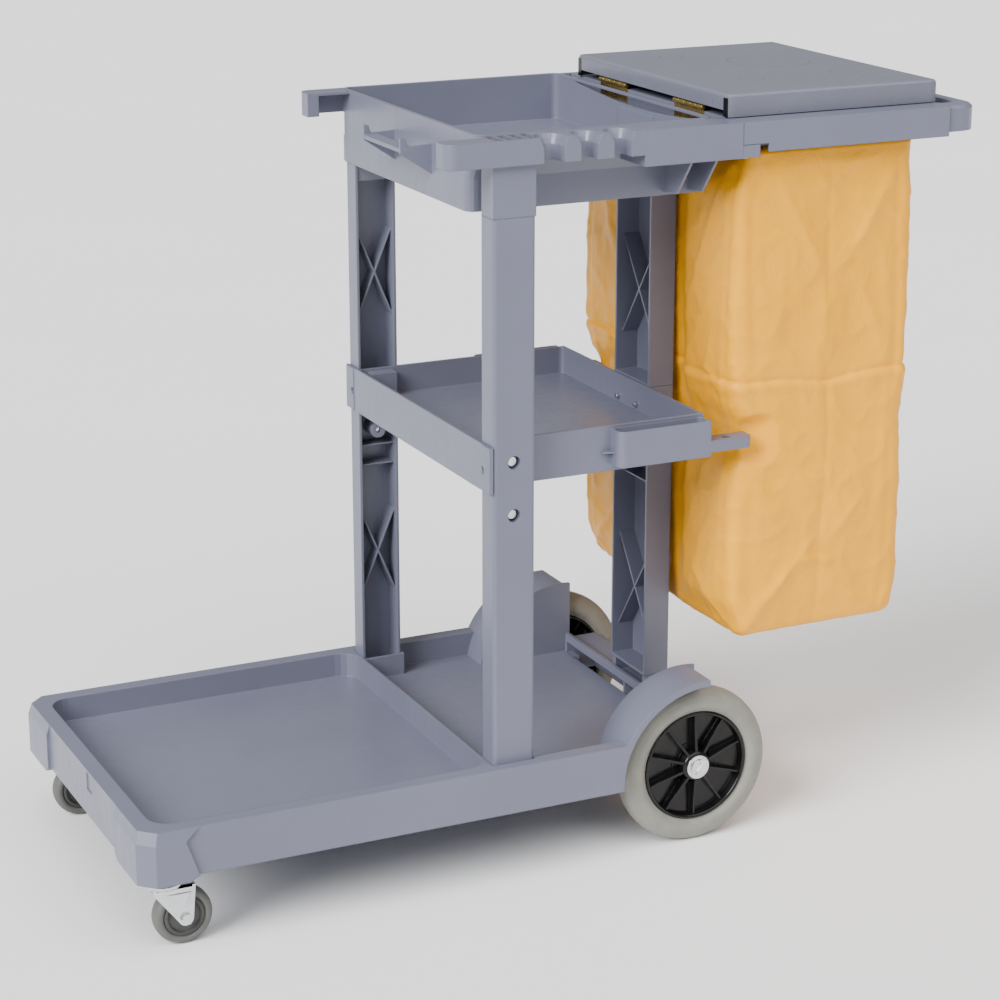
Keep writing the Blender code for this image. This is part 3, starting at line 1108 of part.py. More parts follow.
def build_fasteners():
    seat = POST_OUT - COUNTERBORE_D + GAP
    shelf_seat = REAR_X1 + GAP
    for label, side in (("near", -1), ("far", 1)):
        for where, z, reach in zip(("lower", "upper"), POST_BOLT_Z, (POST_IN + 0.0043, POST_IN - 0.0117)):
            screw("%s_post_%s_bolt" % (label, where), ZINC, "y", POST_XM, z, BOLT_HEAD_R, BOLT_R,
                  side * seat, side * 0.0042, seat - reach)
        screw("%s_band_screw" % label, ZINC, "x", side * BAND_SCREW_Y, BAND_SCREW_Z, BAND_HEAD_R,
              BAND_SCREW_R, POST_X0 - GAP, -0.0016, 0.0080)
        screw("%s_frame_screw" % label, ZINC, "z", FRAME_SCREW_X, side * FRAME_SCREW_Y,
              FRAME_SCREW_HEAD_R, FRAME_SCREW_R, BLOCK_Z0 + 0.0004 - GAP, -0.0026, 0.0270)
        screw("%s_shelf_bolt" % label, ZINC, "x", side * SHELF_BOLT_Y, SHELF_BOLT_Z, BOLT_HEAD_R,
              BOLT_R, shelf_seat, 0.0036, shelf_seat - SHELF_X1 + 0.0080)


# ---------------------------------------------------------------- assembly
build_platform()
build_front_post("near_front_post", -1)
build_front_post("far_front_post", 1)
build_rear_post("rear_lower_post", REAR_FOOT_Z, REAR_SPLIT_Z - GAP, REAR_CROSS_Z[0], True)
build_rear_post("rear_upper_post", REAR_SPLIT_Z, REAR_TOP_Z, REAR_CROSS_Z[1], False)
build_shelf()
build_tray()
build_frame()
build_lid()
build_hinge("near", -HINGE_Y)
build_hinge("far", HINGE_Y)
build_axle()
build_rear_wheel("near", -1)
build_rear_wheel("far", 1)
build_caster("near", -1)
build_caster("far", 1)
build_bag()
build_fasteners()
bpy.context.view_layer.update()
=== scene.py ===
"""Looks of the housekeeping cart: finishes on the CAD frame, finer wheels, casters, lid and waste bag,
camera, floor and studio light.  Metres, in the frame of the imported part."""
import math

import bmesh
import bpy
import numpy as np
from mathutils import Matrix, Vector, noise


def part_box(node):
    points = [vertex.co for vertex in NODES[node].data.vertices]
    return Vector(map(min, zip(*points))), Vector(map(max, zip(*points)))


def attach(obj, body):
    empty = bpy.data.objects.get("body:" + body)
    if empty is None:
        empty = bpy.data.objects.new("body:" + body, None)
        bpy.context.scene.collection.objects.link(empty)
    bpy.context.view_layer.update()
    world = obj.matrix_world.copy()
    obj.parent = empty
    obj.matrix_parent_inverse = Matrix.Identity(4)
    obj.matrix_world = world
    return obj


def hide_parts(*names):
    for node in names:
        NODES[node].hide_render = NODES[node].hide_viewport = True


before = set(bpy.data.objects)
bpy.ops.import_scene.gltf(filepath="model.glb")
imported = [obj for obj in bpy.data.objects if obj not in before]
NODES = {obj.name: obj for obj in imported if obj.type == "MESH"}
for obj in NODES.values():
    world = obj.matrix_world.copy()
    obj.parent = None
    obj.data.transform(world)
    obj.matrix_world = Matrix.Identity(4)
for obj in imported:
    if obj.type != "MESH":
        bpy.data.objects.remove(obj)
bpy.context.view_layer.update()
SCENE = bpy.context.scene


# ---------------------------------------------------------------- node helpers
class Graph:
    """Small wrapper for building one material."""

    def __init__(self, name):
        self.mat = bpy.data.materials.new(name)
        self.mat.use_nodes = True
        self.tree = self.mat.node_tree
        self.bsdf = self.tree.nodes["Principled BSDF"]
        self.coords = self.add("ShaderNodeTexCoord").outputs["Object"]

    def add(self, kind, **values):
        node = self.tree.nodes.new(kind)
        for key, value in values.items():
            if key in node.inputs:
                node.inputs[key].default_value = value
            else:
                setattr(node, key, value)
        return node

    def link(self, a, b):
        self.tree.links.new(a, b)

    def noise(self, scale, detail=3.0, rough=0.55, stretch=None, distortion=0.0):
        node = self.add("ShaderNodeTexNoise", Scale=scale, Detail=detail, Roughness=rough,
                        Distortion=distortion)
        src = self.coords
        if stretch is not None:
            mapping = self.add("ShaderNodeMapping")
            mapping.inputs["Scale"].default_value = stretch
            self.link(src, mapping.inputs["Vector"])
            src = mapping.outputs["Vector"]
        self.link(src, node.inputs["Vector"])
        return node.outputs["Fac"]

    def wave(self, scale, direction, distortion=0.0):
        node = self.add("ShaderNodeTexWave", Scale=scale, Distortion=distortion)
        node.wave_type = "BANDS"
        node.bands_direction = direction
        self.link(self.coords, node.inputs["Vector"])
        return node.outputs["Fac"]

    def ramp(self, fac, stops):
        node = self.add("ShaderNodeValToRGB")
        elements = node.color_ramp.elements
        while len(elements) < len(stops):
            elements.new(0.5)
        for element, (pos, rgb) in zip(elements, stops):
            element.position = pos
            element.color = (*rgb, 1.0)
        self.link(fac, node.inputs["Fac"])
        return node.outputs["Color"]

    def span(self, fac, low, high, a=0.3, b=0.7):
        node = self.add("ShaderNodeMapRange")
        for key, value in zip(("From Min", "From Max", "To Min", "To Max"), (a, b, low, high)):
            node.inputs[key].default_value = value
        self.link(fac, node.inputs["Value"])
        return node.outputs["Result"]

    def maths(self, op, a, b):
        node = self.add("ShaderNodeMath", operation=op)
        for i, value in enumerate((a, b)):
            if isinstance(value, (int, float)):
                node.inputs[i].default_value = value
            else:
                self.link(value, node.inputs[i])
        return node.outputs[0]

    def bump(self, height, distance, strength=1.0, normal=None):
        node = self.add("ShaderNodeBump", Strength=strength, Distance=distance)
        self.link(height, node.inputs["Height"])
        if normal is not None:
            self.link(normal, node.inputs["Normal"])
        return node.outputs["Normal"]

    def soft_edges(self, radius):
        node = self.add("ShaderNodeBevel", Radius=radius, samples=6)
        return node.outputs["Normal"]

    def set(self, key, value):
        if isinstance(value, bpy.types.NodeSocket):
            self.link(value, self.bsdf.inputs[key])
        else:
            self.bsdf.inputs[key].default_value = value


def tint(rgb, k):
    return tuple(min(1.0, c * k) for c in rgb)


LID_RINGS = ((0.300, -0.090, 0.0150), (0.300, 0.110, 0.0150), (0.430, -0.090, 0.0180), (0.395, 0.030, 0.0520))


def moulded_plastic(name, rgb, rough, grain=0.00006, edge=0.0011, blotch=0.045, rings=False):
    g = Graph(name)
    big = g.noise(7.0, 4.0, 0.6)
    g.set("Base Color", g.ramp(big, ((0.30, tint(rgb, 1 - blotch)), (0.50, rgb), (0.72, tint(rgb, 1 + blotch)))))
    fine = g.noise(2600.0, 2.0, 0.5)
    scuff = g.noise(60.0, 5.0, 0.65, stretch=(1.0, 1.0, 0.35))
    g.set("Roughness", g.span(scuff, rough - 0.05, rough + 0.07))
    g.set("IOR", 1.48)
    edges = g.soft_edges(edge)
    if rings:
        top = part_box("lid")[1].z
        for x, y, radius in LID_RINGS:
            away = g.add("ShaderNodeVectorMath", operation="DISTANCE")
            g.link(g.coords, away.inputs[0])
            away.inputs[1].default_value = (x, y, top)
            off = g.maths("ABSOLUTE", g.maths("SUBTRACT", away.outputs["Value"], radius), 0.0)
            edges = g.bump(g.span(off, 1.0, 0.0, 0.0, 0.0016), 0.0009, 1.0, edges)
    g.set("Normal", g.bump(fine, grain, 0.55, g.bump(scuff, 0.00014, 0.30, edges)))
    return g.mat


def rubber(name, rgb):
    g = Graph(name)
    dust = g.noise(34.0, 6.0, 0.7)
    g.set("Base Color", g.ramp(dust, ((0.30, tint(rgb, 0.86)), (0.55, rgb), (0.75, tint(rgb, 1.12)))))
    g.set("Roughness", g.span(g.noise(90.0, 4.0), 0.52, 0.70))
    fine = g.noise(1500.0, 3.0, 0.6)
    g.set("Normal", g.bump(fine, 0.00010, 0.5, g.bump(g.noise(240.0, 4.0, 0.65), 0.00035, 0.45)))
    return g.mat


def plated(name, rgb, rough, tone):
    g = Graph(name)
    cloud = g.noise(45.0, 3.0, 0.5)
    g.set("Base Color", g.ramp(cloud, ((0.25, tone), (0.50, rgb), (0.78, tint(rgb, 1.12)))))
    g.set("Metallic", 1.0)
    g.set("Roughness", g.span(g.noise(420.0, 4.0, 0.6, stretch=(1.0, 1.0, 0.12)), rough - 0.08, rough + 0.12))
    g.set("Normal", g.bump(g.noise(900.0, 3.0), 0.00002, 0.4, g.soft_edges(0.0005)))
    return g.mat


def black_plastic(name, rgb, rough):
    g = Graph(name)
    g.set("Base Color", g.ramp(g.noise(25.0, 4.0), ((0.3, tint(rgb, 0.75)), (0.7, tint(rgb, 1.5)))))
    g.set("Roughness", g.span(g.noise(55.0, 5.0), rough - 0.06, rough + 0.10))
    g.set("Specular IOR Level", 0.32)
    g.set("Normal", g.bump(g.noise(2200.0, 2.0), 0.00003, 0.3, g.soft_edges(0.0006)))
    return g.mat


def coated_cloth(name, rgb):
    """Yellow vinyl on a woven backing: the weave only just prints through the coating."""
    g = Graph(name)
    cloud = g.noise(9.0, 5.0, 0.62)
    g.set("Base Color", g.ramp(cloud, ((0.30, tint(rgb, 0.93)), (0.52, rgb), (0.74, tint(rgb, 1.05)))))
    weave = g.maths("ADD", g.wave(420.0, "Z", 0.4), g.maths("MAXIMUM", g.wave(420.0, "X", 0.4), g.wave(420.0, "Y", 0.4)))
    crumple = g.noise(38.0, 6.0, 0.62, distortion=1.1)
    g.set("Roughness", g.span(crumple, 0.32, 0.50))
    g.set("IOR", 1.5)
    g.set("Specular IOR Level", 0.30)
    g.set("Normal", g.bump(weave, 0.00010, 0.22, g.bump(crumple, 0.0042, 0.42)))
    return g.mat


PLASTIC = moulded_plastic("cart_plastic", (0.142, 0.149, 0.203), 0.33, edge=0.0016)
LID_PLASTIC = moulded_plastic("lid_plastic", (0.148, 0.153, 0.198), 0.30, edge=0.0008, blotch=0.035, rings=True)
HUB = black_plastic("hub_plastic", (0.0035, 0.0035, 0.0040), 0.20)
CASTER_HUB = black_plastic("caster_hub_plastic", (0.045, 0.046, 0.043), 0.38)
TYRE = rubber("tyre_rubber", (0.235, 0.230, 0.196))
CASTER_TYRE = rubber("caster_rubber", (0.105, 0.105, 0.098))
ZINC = plated("zinc_plate", (0.66, 0.67, 0.69), 0.22, (0.56, 0.57, 0.60))
BRASS = plated("yellow_zinc_plate", (0.66, 0.47, 0.13), 0.26, (0.46, 0.34, 0.07))
VINYL = coated_cloth("bag_vinyl", (0.930, 0.400, 0.0))


def dress(node, mat):
    data = NODES[node].data
    data.materials.clear()
    data.materials.append(mat)


for name in ("base_platform", "near_front_post", "far_front_post", "rear_lower_post", "rear_upper_post",
             "middle_shelf", "top_tray", "bag_frame"):
    dress(name, PLASTIC)
for name in NODES:
    if name.endswith(("_screw", "_bolt", "_nut", "_washer", "_ring", "_mount", "_fork")) or name == "rear_axle":
        dress(name, ZINC)
    if "_hinge_" in name:
        dress(name, BRASS)


# ---------------------------------------------------------------- mesh helpers
def new_piece(name, bm, mat, body, smooth=True):
    mesh = bpy.data.meshes.new(name)
    bmesh.ops.recalc_face_normals(bm, faces=bm.faces)
    bm.to_mesh(mesh)
    bm.free()
    mesh.materials.append(mat)
    for poly in mesh.polygons:
        poly.use_smooth = smooth
    ob = bpy.data.objects.new(name, mesh)
    SCENE.collection.objects.link(ob)
    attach(ob, body)
    return ob


def sharp_by_angle(ob, degrees=35):
    """Keep hard corners crisp while the rest shades smoothly."""
    bm = bmesh.new()
    bm.from_mesh(ob.data)
    for edge in bm.edges:
        if len(edge.link_faces) == 2:
            edge.smooth = edge.calc_face_angle(0.0) < math.radians(degrees)
    bm.to_mesh(ob.data)
    bm.free()


def bevel(ob, width, segments=3, degrees=40):
    mod = ob.modifiers.new("edges", "BEVEL")
    mod.width = width
    mod.segments = segments
    mod.limit_method = "ANGLE"
    mod.angle_limit = math.radians(degrees)
    mod.harden_normals = True
    return mod


def rounded_profile(points, radius, steps=4):
    """Closed outline with every corner rounded by up to radius."""
    out = []
    count = len(points)
    for i in range(count):
        p, a, b = Vector(points[i]), Vector(points[i - 1]), Vector(points[(i + 1) % count])
        da, db = (a - p), (b - p)
        r = min(radius, da.length * 0.45, db.length * 0.45)
        start, end = p + da.normalized() * r, p + db.normalized() * r
        for k in range(steps + 1):
            t = k / steps
            out.append(tuple(start.lerp(p, t).lerp(p.lerp(end, t), t)))
    return out


def lathe(bm, profile, centre, segments=96, axis="y"):
    """Closed ring of revolution; profile is (radius, along)."""
    rings = []
    for i in range(segments):
        a = 2 * math.pi * i / segments
        ring = []
        for r, w in profile:
            if axis == "y":
                ring.append(bm.verts.new((centre[0] + r * math.cos(a), centre[1] + w, centre[2] + r * math.sin(a))))
            else:
                ring.append(bm.verts.new((centre[0] + r * math.cos(a), centre[1] + r * math.sin(a), centre[2] + w)))
        rings.append(ring)
    count = len(profile)
    for i in range(segments):
        for k in range(count):
            a, b = rings[i], rings[(i + 1) % segments]
            bm.faces.new((a[k], a[(k + 1) % count], b[(k + 1) % count], b[k]))


def solid(bm, outline, place, a, b):
    """Prism of an outline; place(u, v, w) gives the point."""
    low = [bm.verts.new(place(u, v, a)) for u, v in outline]
    high = [bm.verts.new(place(u, v, b)) for u, v in outline]
    bm.faces.new(low)
    bm.faces.new(high)
    for i in range(len(outline)):
        j = (i + 1) % len(outline)
        bm.faces.new((low[i], low[j], high[j], high[i]))


def ring_points(cx, cy, r, n, start=0.0, sweep=2 * math.pi):
    last = n if sweep >= 2 * math.pi - 1e-6 else n + 1
    return [(cx + r * math.cos(start + sweep * i / n), cy + r * math.sin(start + sweep * i / n)) for i in range(last)]


# ---------------------------------------------------------------- rear wheels
def rear_wheel(label, side):
    lo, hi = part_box(label + "_wheel_tyre")
    c = (lo + hi) / 2
    r_out = (hi.z - lo.z) / 2
    half = (hi.y - lo.y) / 2
    hlo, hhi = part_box(label + "_wheel_hub")
    r_hub = (hhi.z - hlo.z) / 2
    boss = (hhi.y - hlo.y) / 2
    r_in = r_hub + 0.0002

    side_wall = [(r_in, half - 0.0045), (r_in + 0.0035, half - 0.0028), (r_in + 0.0060, half - 0.0006),
                 (r_in + 0.0100, half), (r_in + 0.0165, half - 0.0004), (r_in + 0.0178, half - 0.0012),
                 (r_in + 0.0190, half - 0.0012), (r_in + 0.0205, half - 0.0022), (r_out - 0.0052, half - 0.0040),
                 (r_out - 0.0024, half - 0.0070), (r_out - 0.0008, half - 0.0110), (r_out, half - 0.0160)]
    profile = side_wall + [(r, -w) for r, w in reversed(side_wall)]
    bm = bmesh.new()
    lathe(bm, profile, c, 128)
    tyre = new_piece(label + "_tyre", bm, TYRE, label + "_rear_wheel")
    sharp_by_angle(tyre, 50)
    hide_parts(label + "_wheel_tyre")

    rim_in = r_hub - 0.0052
    bore = 0.0064
    outline = [(bore, boss), (0.0165, boss), (0.0190, boss - 0.0025), (0.0200, 0.0022), (rim_in - 0.0005, 0.0022),
               (rim_in, half - 0.0042), (rim_in + 0.0016, half - 0.0022), (r_hub - 0.0012, half - 0.0022),
               (r_hub, half - 0.0040)]
    outline += [(r, -w) for r, w in reversed(outline)]
    bm = bmesh.new()
    lathe(bm, rounded_profile(outline, 0.0010, 2), c, 120)
    for i in range(10):
        angle = 2 * math.pi * (i + 0.5) / 10
        u, v = Vector((math.cos(angle), 0, math.sin(angle))), Vector((-math.sin(angle), 0, math.cos(angle)))
        for face in (-1, 1):
            def place(r, w, t):
                width = 0.0017 - 0.0005 * (r - 0.018) / (rim_in - 0.018)
                return Vector(c) + u * r + v * (t * width) + Vector((0, face * w, 0))
            blade = [(0.0175, 0.0015), (rim_in + 0.0010, 0.0015), (rim_in + 0.0010, half - 0.0062),
                     (rim_in - 0.0120, half - 0.0066), (0.0250, half - 0.0030), (0.0175, half - 0.0018)]
            solid(bm, blade, place, -1.0, 1.0)
    for face in (-1, 1):
        ridge = [(0.0245, 0.0020), (0.0285, 0.0020), (0.0280, 0.0040), (0.0250, 0.0040)]
        lathe(bm, [(r, face * w) for r, w in ridge], c, 72)
    hub = new_piece(label + "_hub", bm, HUB, label + "_rear_wheel")
    sharp_by_angle(hub, 32)
    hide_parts(label + "_wheel_hub")

    # split pin through the end of the axle
    alo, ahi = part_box("rear_axle")
    end = alo.y if side < 0 else ahi.y
    bm = bmesh.new()
    path = [(-0.0090, 0.0), (-0.0040, 0.0004), (0.0, 0.0), (0.0050, -0.0003), (0.0095, 0.0008), (0.0120, 0.0030)]
    y = end - side * 0.0010
    for lane in (-1, 1):
        rings = []
        for k, (u, v) in enumerate(path):
            spread = lane * (0.0008 + 0.0011 * max(0, k - 3))
            ring = []
            for j in range(8):
                a = 2 * math.pi * j / 8
                ring.append(bm.verts.new((c.x + u * 0.5 + spread + 0.0007 * math.cos(a),
                                          y + side * (0.0011 + 0.0007 * math.sin(a)),
                                          c.z + u * 0.87)))
            rings.append(ring)
        for a, b in zip(rings, rings[1:]):
            for j in range(8):
                bm.faces.new((a[j], a[(j + 1) % 8], b[(j + 1) % 8], b[j]))
        bm.faces.new(rings[0])
        bm.faces.new(rings[-1])
    new_piece(label + "_split_pin", bm, ZINC, "cart")


# ---------------------------------------------------------------- casters
def caster(label):
    lo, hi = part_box(label + "_caster_tyre")
    c = (lo + hi) / 2
    r_out = (hi.x - lo.x) / 2
    half = (hi.y - lo.y) / 2
    hlo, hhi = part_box(label + "_caster_hub")
    r_hub = (hhi.x - hlo.x) / 2
    hub_half = (hhi.y - hlo.y) / 2

    wall = [(r_hub + 0.0002, half - 0.0020), (r_hub + 0.0018, half - 0.0004), (r_hub + 0.0045, half),
            (r_out - 0.0042, half - 0.0008), (r_out - 0.0018, half - 0.0026), (r_out - 0.0004, half - 0.0055),
            (r_out, half - 0.0085)]
    bm = bmesh.new()
    lathe(bm, wall + [(r, -w) for r, w in reversed(wall)], c, 96)
    tyre = new_piece(label + "_small_tyre", bm, CASTER_TYRE, label + "_caster_wheel")
    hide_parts(label + "_caster_tyre")

    face = [(0.0043, hub_half), (0.0078, hub_half), (0.0086, hub_half - 0.0020), (0.0110, hub_half - 0.0042),
            (r_hub - 0.0062, hub_half - 0.0042), (r_hub - 0.0046, hub_half - 0.0016), (r_hub - 0.0020, hub_half - 0.0008),
            (r_hub, hub_half - 0.0022)]
    bm = bmesh.new()
    lathe(bm, rounded_profile(face + [(r, -w) for r, w in reversed(face)], 0.0006, 2), c, 84)
    hub = new_piece(label + "_small_hub", bm, CASTER_HUB, label + "_caster_wheel")
    sharp_by_angle(hub, 35)
    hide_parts(label + "_caster_hub")

    # pressed fork: domed race, crown and two creased legs
    flo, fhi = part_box(label + "_caster_fork")
    mlo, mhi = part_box(label + "_caster_mount")
    sx, sy = (mlo.x + mhi.x) / 2, (mlo.y + mhi.y) / 2
    race_r = (mhi.x - mlo.x) / 2
    t = 0.0025
    crown_z = fhi.z - 0.0111
    gap = (fhi.y - flo.y) / 2
    leg_out = 0.0160
    bm = bmesh.new()
    dome = [(0.0060, fhi.z - crown_z - 0.0012), (race_r - 0.0070, fhi.z - crown_z - 0.0002),
            (race_r - 0.0020, fhi.z - crown_z - 0.0010), (race_r + 0.0008, fhi.z - crown_z - 0.0032),
            (race_r + 0.0015, fhi.z - crown_z - 0.0056), (race_r + 0.0004, fhi.z - crown_z - 0.0076),
            (race_r - 0.0015, 0.0012), (race_r - 0.0030, 0.0000), (0.0060, 0.0000)]
    lathe(bm, rounded_profile(dome, 0.0009, 2), (sx, sy, crown_z), 72, "z")
    crown = rounded_profile([(sx - 0.0165, sy - leg_out), (c.x + 0.0125, sy - leg_out), (c.x + 0.0125, sy + leg_out),
                             (sx - 0.0165, sy + leg_out)], 0.004, 4)
    solid(bm, crown, lambda u, v, w: Vector((u, v, w)), crown_z - 0.0001, crown_z + t)
    for lane in (-1, 1):
        tip = ring_points(c.x, c.z, 0.0090, 12, -math.pi * 0.80, math.pi * 0.80)
        outline = tip + [(c.x + 0.0120, crown_z - 0.004), (c.x + 0.0125, crown_z + t), (sx - 0.0165, crown_z + t),
                         (sx - 0.0160, crown_z - 0.004)]
        solid(bm, outline, lambda u, v, w: Vector((u, sy + lane * w, v)), leg_out - t, leg_out)
        # raised triangular pressing on the leg
        crease = [(c.x - 0.0015, c.z + 0.0120), (c.x + 0.0085, crown_z - 0.0050), (sx - 0.0045, crown_z - 0.0050)]
        low = [bm.verts.new((u, sy + lane * (leg_out - 0.0002), v)) for u, v in crease]
        high = [bm.verts.new((u * 0.7 + (c.x - 0.002) * 0.3, sy + lane * (leg_out + 0.0013), v * 0.75 + (crown_z - 0.010) * 0.25))
                for u, v in crease]
        bm.faces.new(low)
        bm.faces.new(high)
        for i in range(3):
            bm.faces.new((low[i], low[(i + 1) % 3], high[(i + 1) % 3], high[i]))
    fork = new_piece(label + "_fork", bm, ZINC, label + "_caster_swivel")
    sharp_by_angle(fork, 30)
    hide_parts(label + "_caster_fork")


# ---------------------------------------------------------------- lid
def lid():
    lo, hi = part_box("lid")
    r, t = 0.0046, 0.0035
    nx, ny = 96, 128
    slit0, slit1 = 0.0016, 0.0102
    cut_z = 0.9036

    xs = np.linspace(lo.x + r, hi.x - r, nx)
    ys = np.linspace(lo.y + r, hi.y - r, ny)
    bm = bmesh.new()
    grid = [[bm.verts.new((x, y, hi.z - 0.0006 - 0.0010 * ((x - (lo.x + hi.x) / 2) / 0.145) ** 2 * 0.3))
             for y in ys] for x in xs]
    for i in range(nx - 1):
        for j in range(ny - 1):
            bm.faces.new((grid[i][j], grid[i + 1][j], grid[i + 1][j + 1], grid[i][j + 1]))
    edge = [grid[0][j] for j in range(ny)] + [grid[i][-1] for i in range(1, nx)]
    edge += [grid[-1][j] for j in range(ny - 2, -1, -1)] + [grid[i][0] for i in range(nx - 2, 0, -1)]
    # rolled edge and skirt, ring by ring
    cx, cy = (lo.x + hi.x) / 2, (lo.y + hi.y) / 2
    hx, hy = (hi.x - lo.x) / 2, (hi.y - lo.y) / 2

    def skirt_ring(out, z_of):
        """The edge loop pushed outward by out (0..r) with corners rounded."""
        ring = []
        for v in edge:
            dx, dy = v.co.x - cx, v.co.y - cy
            ex, ey = hx - r, hy - r
            ox = out * (1 if dx > ex - 1e-5 else -1 if dx < -ex + 1e-5 else 0)
            oy = out * (1 if dy > ey - 1e-5 else -1 if dy < -ey + 1e-5 else 0)
            if ox and oy:
                ox, oy = ox * 0.7071, oy * 0.7071
            p = Vector((v.co.x + ox, v.co.y + oy, 0))
            p.z = z_of(p)
            ring.append(bm.verts.new(p))
        return ring

    def at(z):
        return lambda p: z

    def bottom(p):
        """The wall on the hinge side stops higher than the other three."""
        if p.x < lo.x + r * 0.9 and abs(p.y) < hy - 0.0070:
            return cut_z
        return lo.z

    rings = [edge]
    for k in range(1, 6):
        a = math.pi / 2 * k / 5
        rings.append(skirt_ring(r * math.sin(a), at(hi.z - 0.0006 - r * (1 - math.cos(a)))))
    rings.append(skirt_ring(r, at((hi.z + cut_z) / 2)))
    rings.append(skirt_ring(r, lambda p: bottom(p)))
    rings.append(skirt_ring(r - t, lambda p: bottom(p)))
    rings.append(skirt_ring(r - t, at(hi.z - t - 0.0010)))
    for a, b in zip(rings, rings[1:]):
        for i in range(len(a)):
            j = (i + 1) % len(a)
            bm.faces.new((a[i], a[j], b[j], b[i]))
    bm.faces.new(rings[-1])
    ob = new_piece("lid_shell", bm, LID_PLASTIC, "lid")
    sharp_by_angle(ob, 50)
    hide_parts("lid")

    # near-black blocks at the two hinge-side corners stand in for the slits: painted shade of the openings; and ribs
    # inside
    for side in (-1, 1):
        y0, y1 = sorted((side * (hy - slit0), side * (hy - slit1)))
        bm = bmesh.new()
        # thin block of black hub plastic laid over the uncut skirt: painted shade where the slit opens
        solid(bm, ((lo.x - 0.0002, y0), (lo.x + 0.0012, y0), (lo.x + 0.0012, y1), (lo.x - 0.0002, y1)),
              lambda u, v, w: Vector((u, v, w)), lo.z + 0.0004, hi.z - 0.0052)
        slit_shade_block = new_piece("lid_slit_shade_%s" % ("near" if side < 0 else "far"), bm, HUB, "lid", False)
    bm = bmesh.new()
    for y in (-0.045, 0.045):
        solid(bm, ((lo.x + 0.004, y - 0.001), (hi.x - 0.004, y - 0.001), (hi.x - 0.004, y + 0.001), (lo.x + 0.004, y + 0.001)),
              lambda u, v, w: Vector((u, v, w)), hi.z - 0.013, hi.z - 0.0042)
    new_piece("lid_ribs", bm, LID_PLASTIC, "lid", False)


# ---------------------------------------------------------------- waste bag
POST_BACK = max(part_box("rear_lower_post")[1].x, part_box("rear_upper_post")[1].x)
BAG_LEVELS = ((0.252, 0.2440, 0.4600, 0.1900, 0.012), (0.262, 0.2385, 0.4650, 0.1955, 0.013),
              (0.300, 0.2350, 0.4680, 0.1985, 0.015), (0.420, 0.2350, 0.4700, 0.2000, 0.020),
              (0.480, 0.2395, 0.4705, 0.2005, 0.026), (0.507, 0.2440, 0.4705, 0.2005, 0.030),
              (0.535, 0.2390, 0.4700, 0.2005, 0.026), (0.574, 0.2335, 0.4690, 0.2010, 0.018),
              (0.740, 0.2310, 0.4680, 0.2010, 0.018), (0.835, 0.2310, 0.4670, 0.2010, 0.016),
              (0.8535, 0.2385, 0.4665, 0.1990, 0.014), (0.8575, 0.2405, 0.4660, 0.1930, 0.012),
              (0.8590, 0.2420, 0.4680, 0.1825, 0.011), (0.8890, 0.2420, 0.4680, 0.1825, 0.011))


def level(z):
    table = np.array(BAG_LEVELS)
    return [float(np.interp(z, table[:, 0], table[:, k])) for k in range(1, 5)]


def crease(p, a, b, height, width, sharp=1.0):
    """Height of a fold line at p: a ridge along a-b that fades at its ends."""
    a, b, p = Vector(a), Vector(b), Vector(p)
    ab = b - a
    t = max(0.0, min(1.0, (p - a).dot(ab) / ab.length_squared))
    d = (p - (a + ab * t)).length
    fade = min(1.0, 3.2 * t + 0.25, 3.2 * (1 - t) + 0.25)
    return height * fade * math.exp(-(d / width) ** sharp)


NEAR_FOLDS = (  # (s, z) ends on a broad face, s from the corner next to the posts
    ((0.004, 0.256), (0.085, 0.345), 0.0052, 0.010), ((0.085, 0.345), (0.142, 0.336), 0.0034, 0.007),
    ((0.085, 0.345), (0.110, 0.375), 0.0022, 0.008), ((0.142, 0.336), (0.172, 0.302), 0.0020, 0.009),
    ((0.128, 0.365), (0.178, 0.422), 0.0028, 0.009), ((0.150, 0.290), (0.222, 0.262), 0.0024, 0.009),
    ((0.070, 0.450), (0.125, 0.445), 0.0018, 0.010), ((0.040, 0.835), (0.112, 0.700), 0.0030, 0.012),
    ((0.214, 0.840), (0.150, 0.720), 0.0034, 0.012), ((0.112, 0.700), (0.118, 0.590), 0.0020, 0.014),
    ((0.150, 0.720), (0.128, 0.705), 0.0024, 0.008), ((0.165, 0.690), (0.200, 0.590), 0.0016, 0.007),
    ((0.100, 0.800), (0.165, 0.845), 0.0020, 0.012), ((0.060, 0.740), (0.045, 0.600), 0.0016, 0.012),
    ((0.200, 0.500), (0.228, 0.509), 0.0016, 0.006), ((0.020, 0.470), (0.060, 0.380), 0.0016, 0.014))
SHORT_FOLDS = (  # on a narrow face seen between the posts
    ((0.010, 0.258), (0.095, 0.330), 0.0040, 0.010), ((0.385, 0.258), (0.300, 0.335), 0.0040, 0.010),
    ((0.020, 0.560), (0.075, 0.585), 0.0024, 0.008), ((0.030, 0.845), (0.120, 0.640), 0.0026, 0.014),
    ((0.370, 0.845), (0.290, 0.650), 0.0026, 0.014), ((0.200, 0.800), (0.190, 0.420), 0.0016, 0.018))


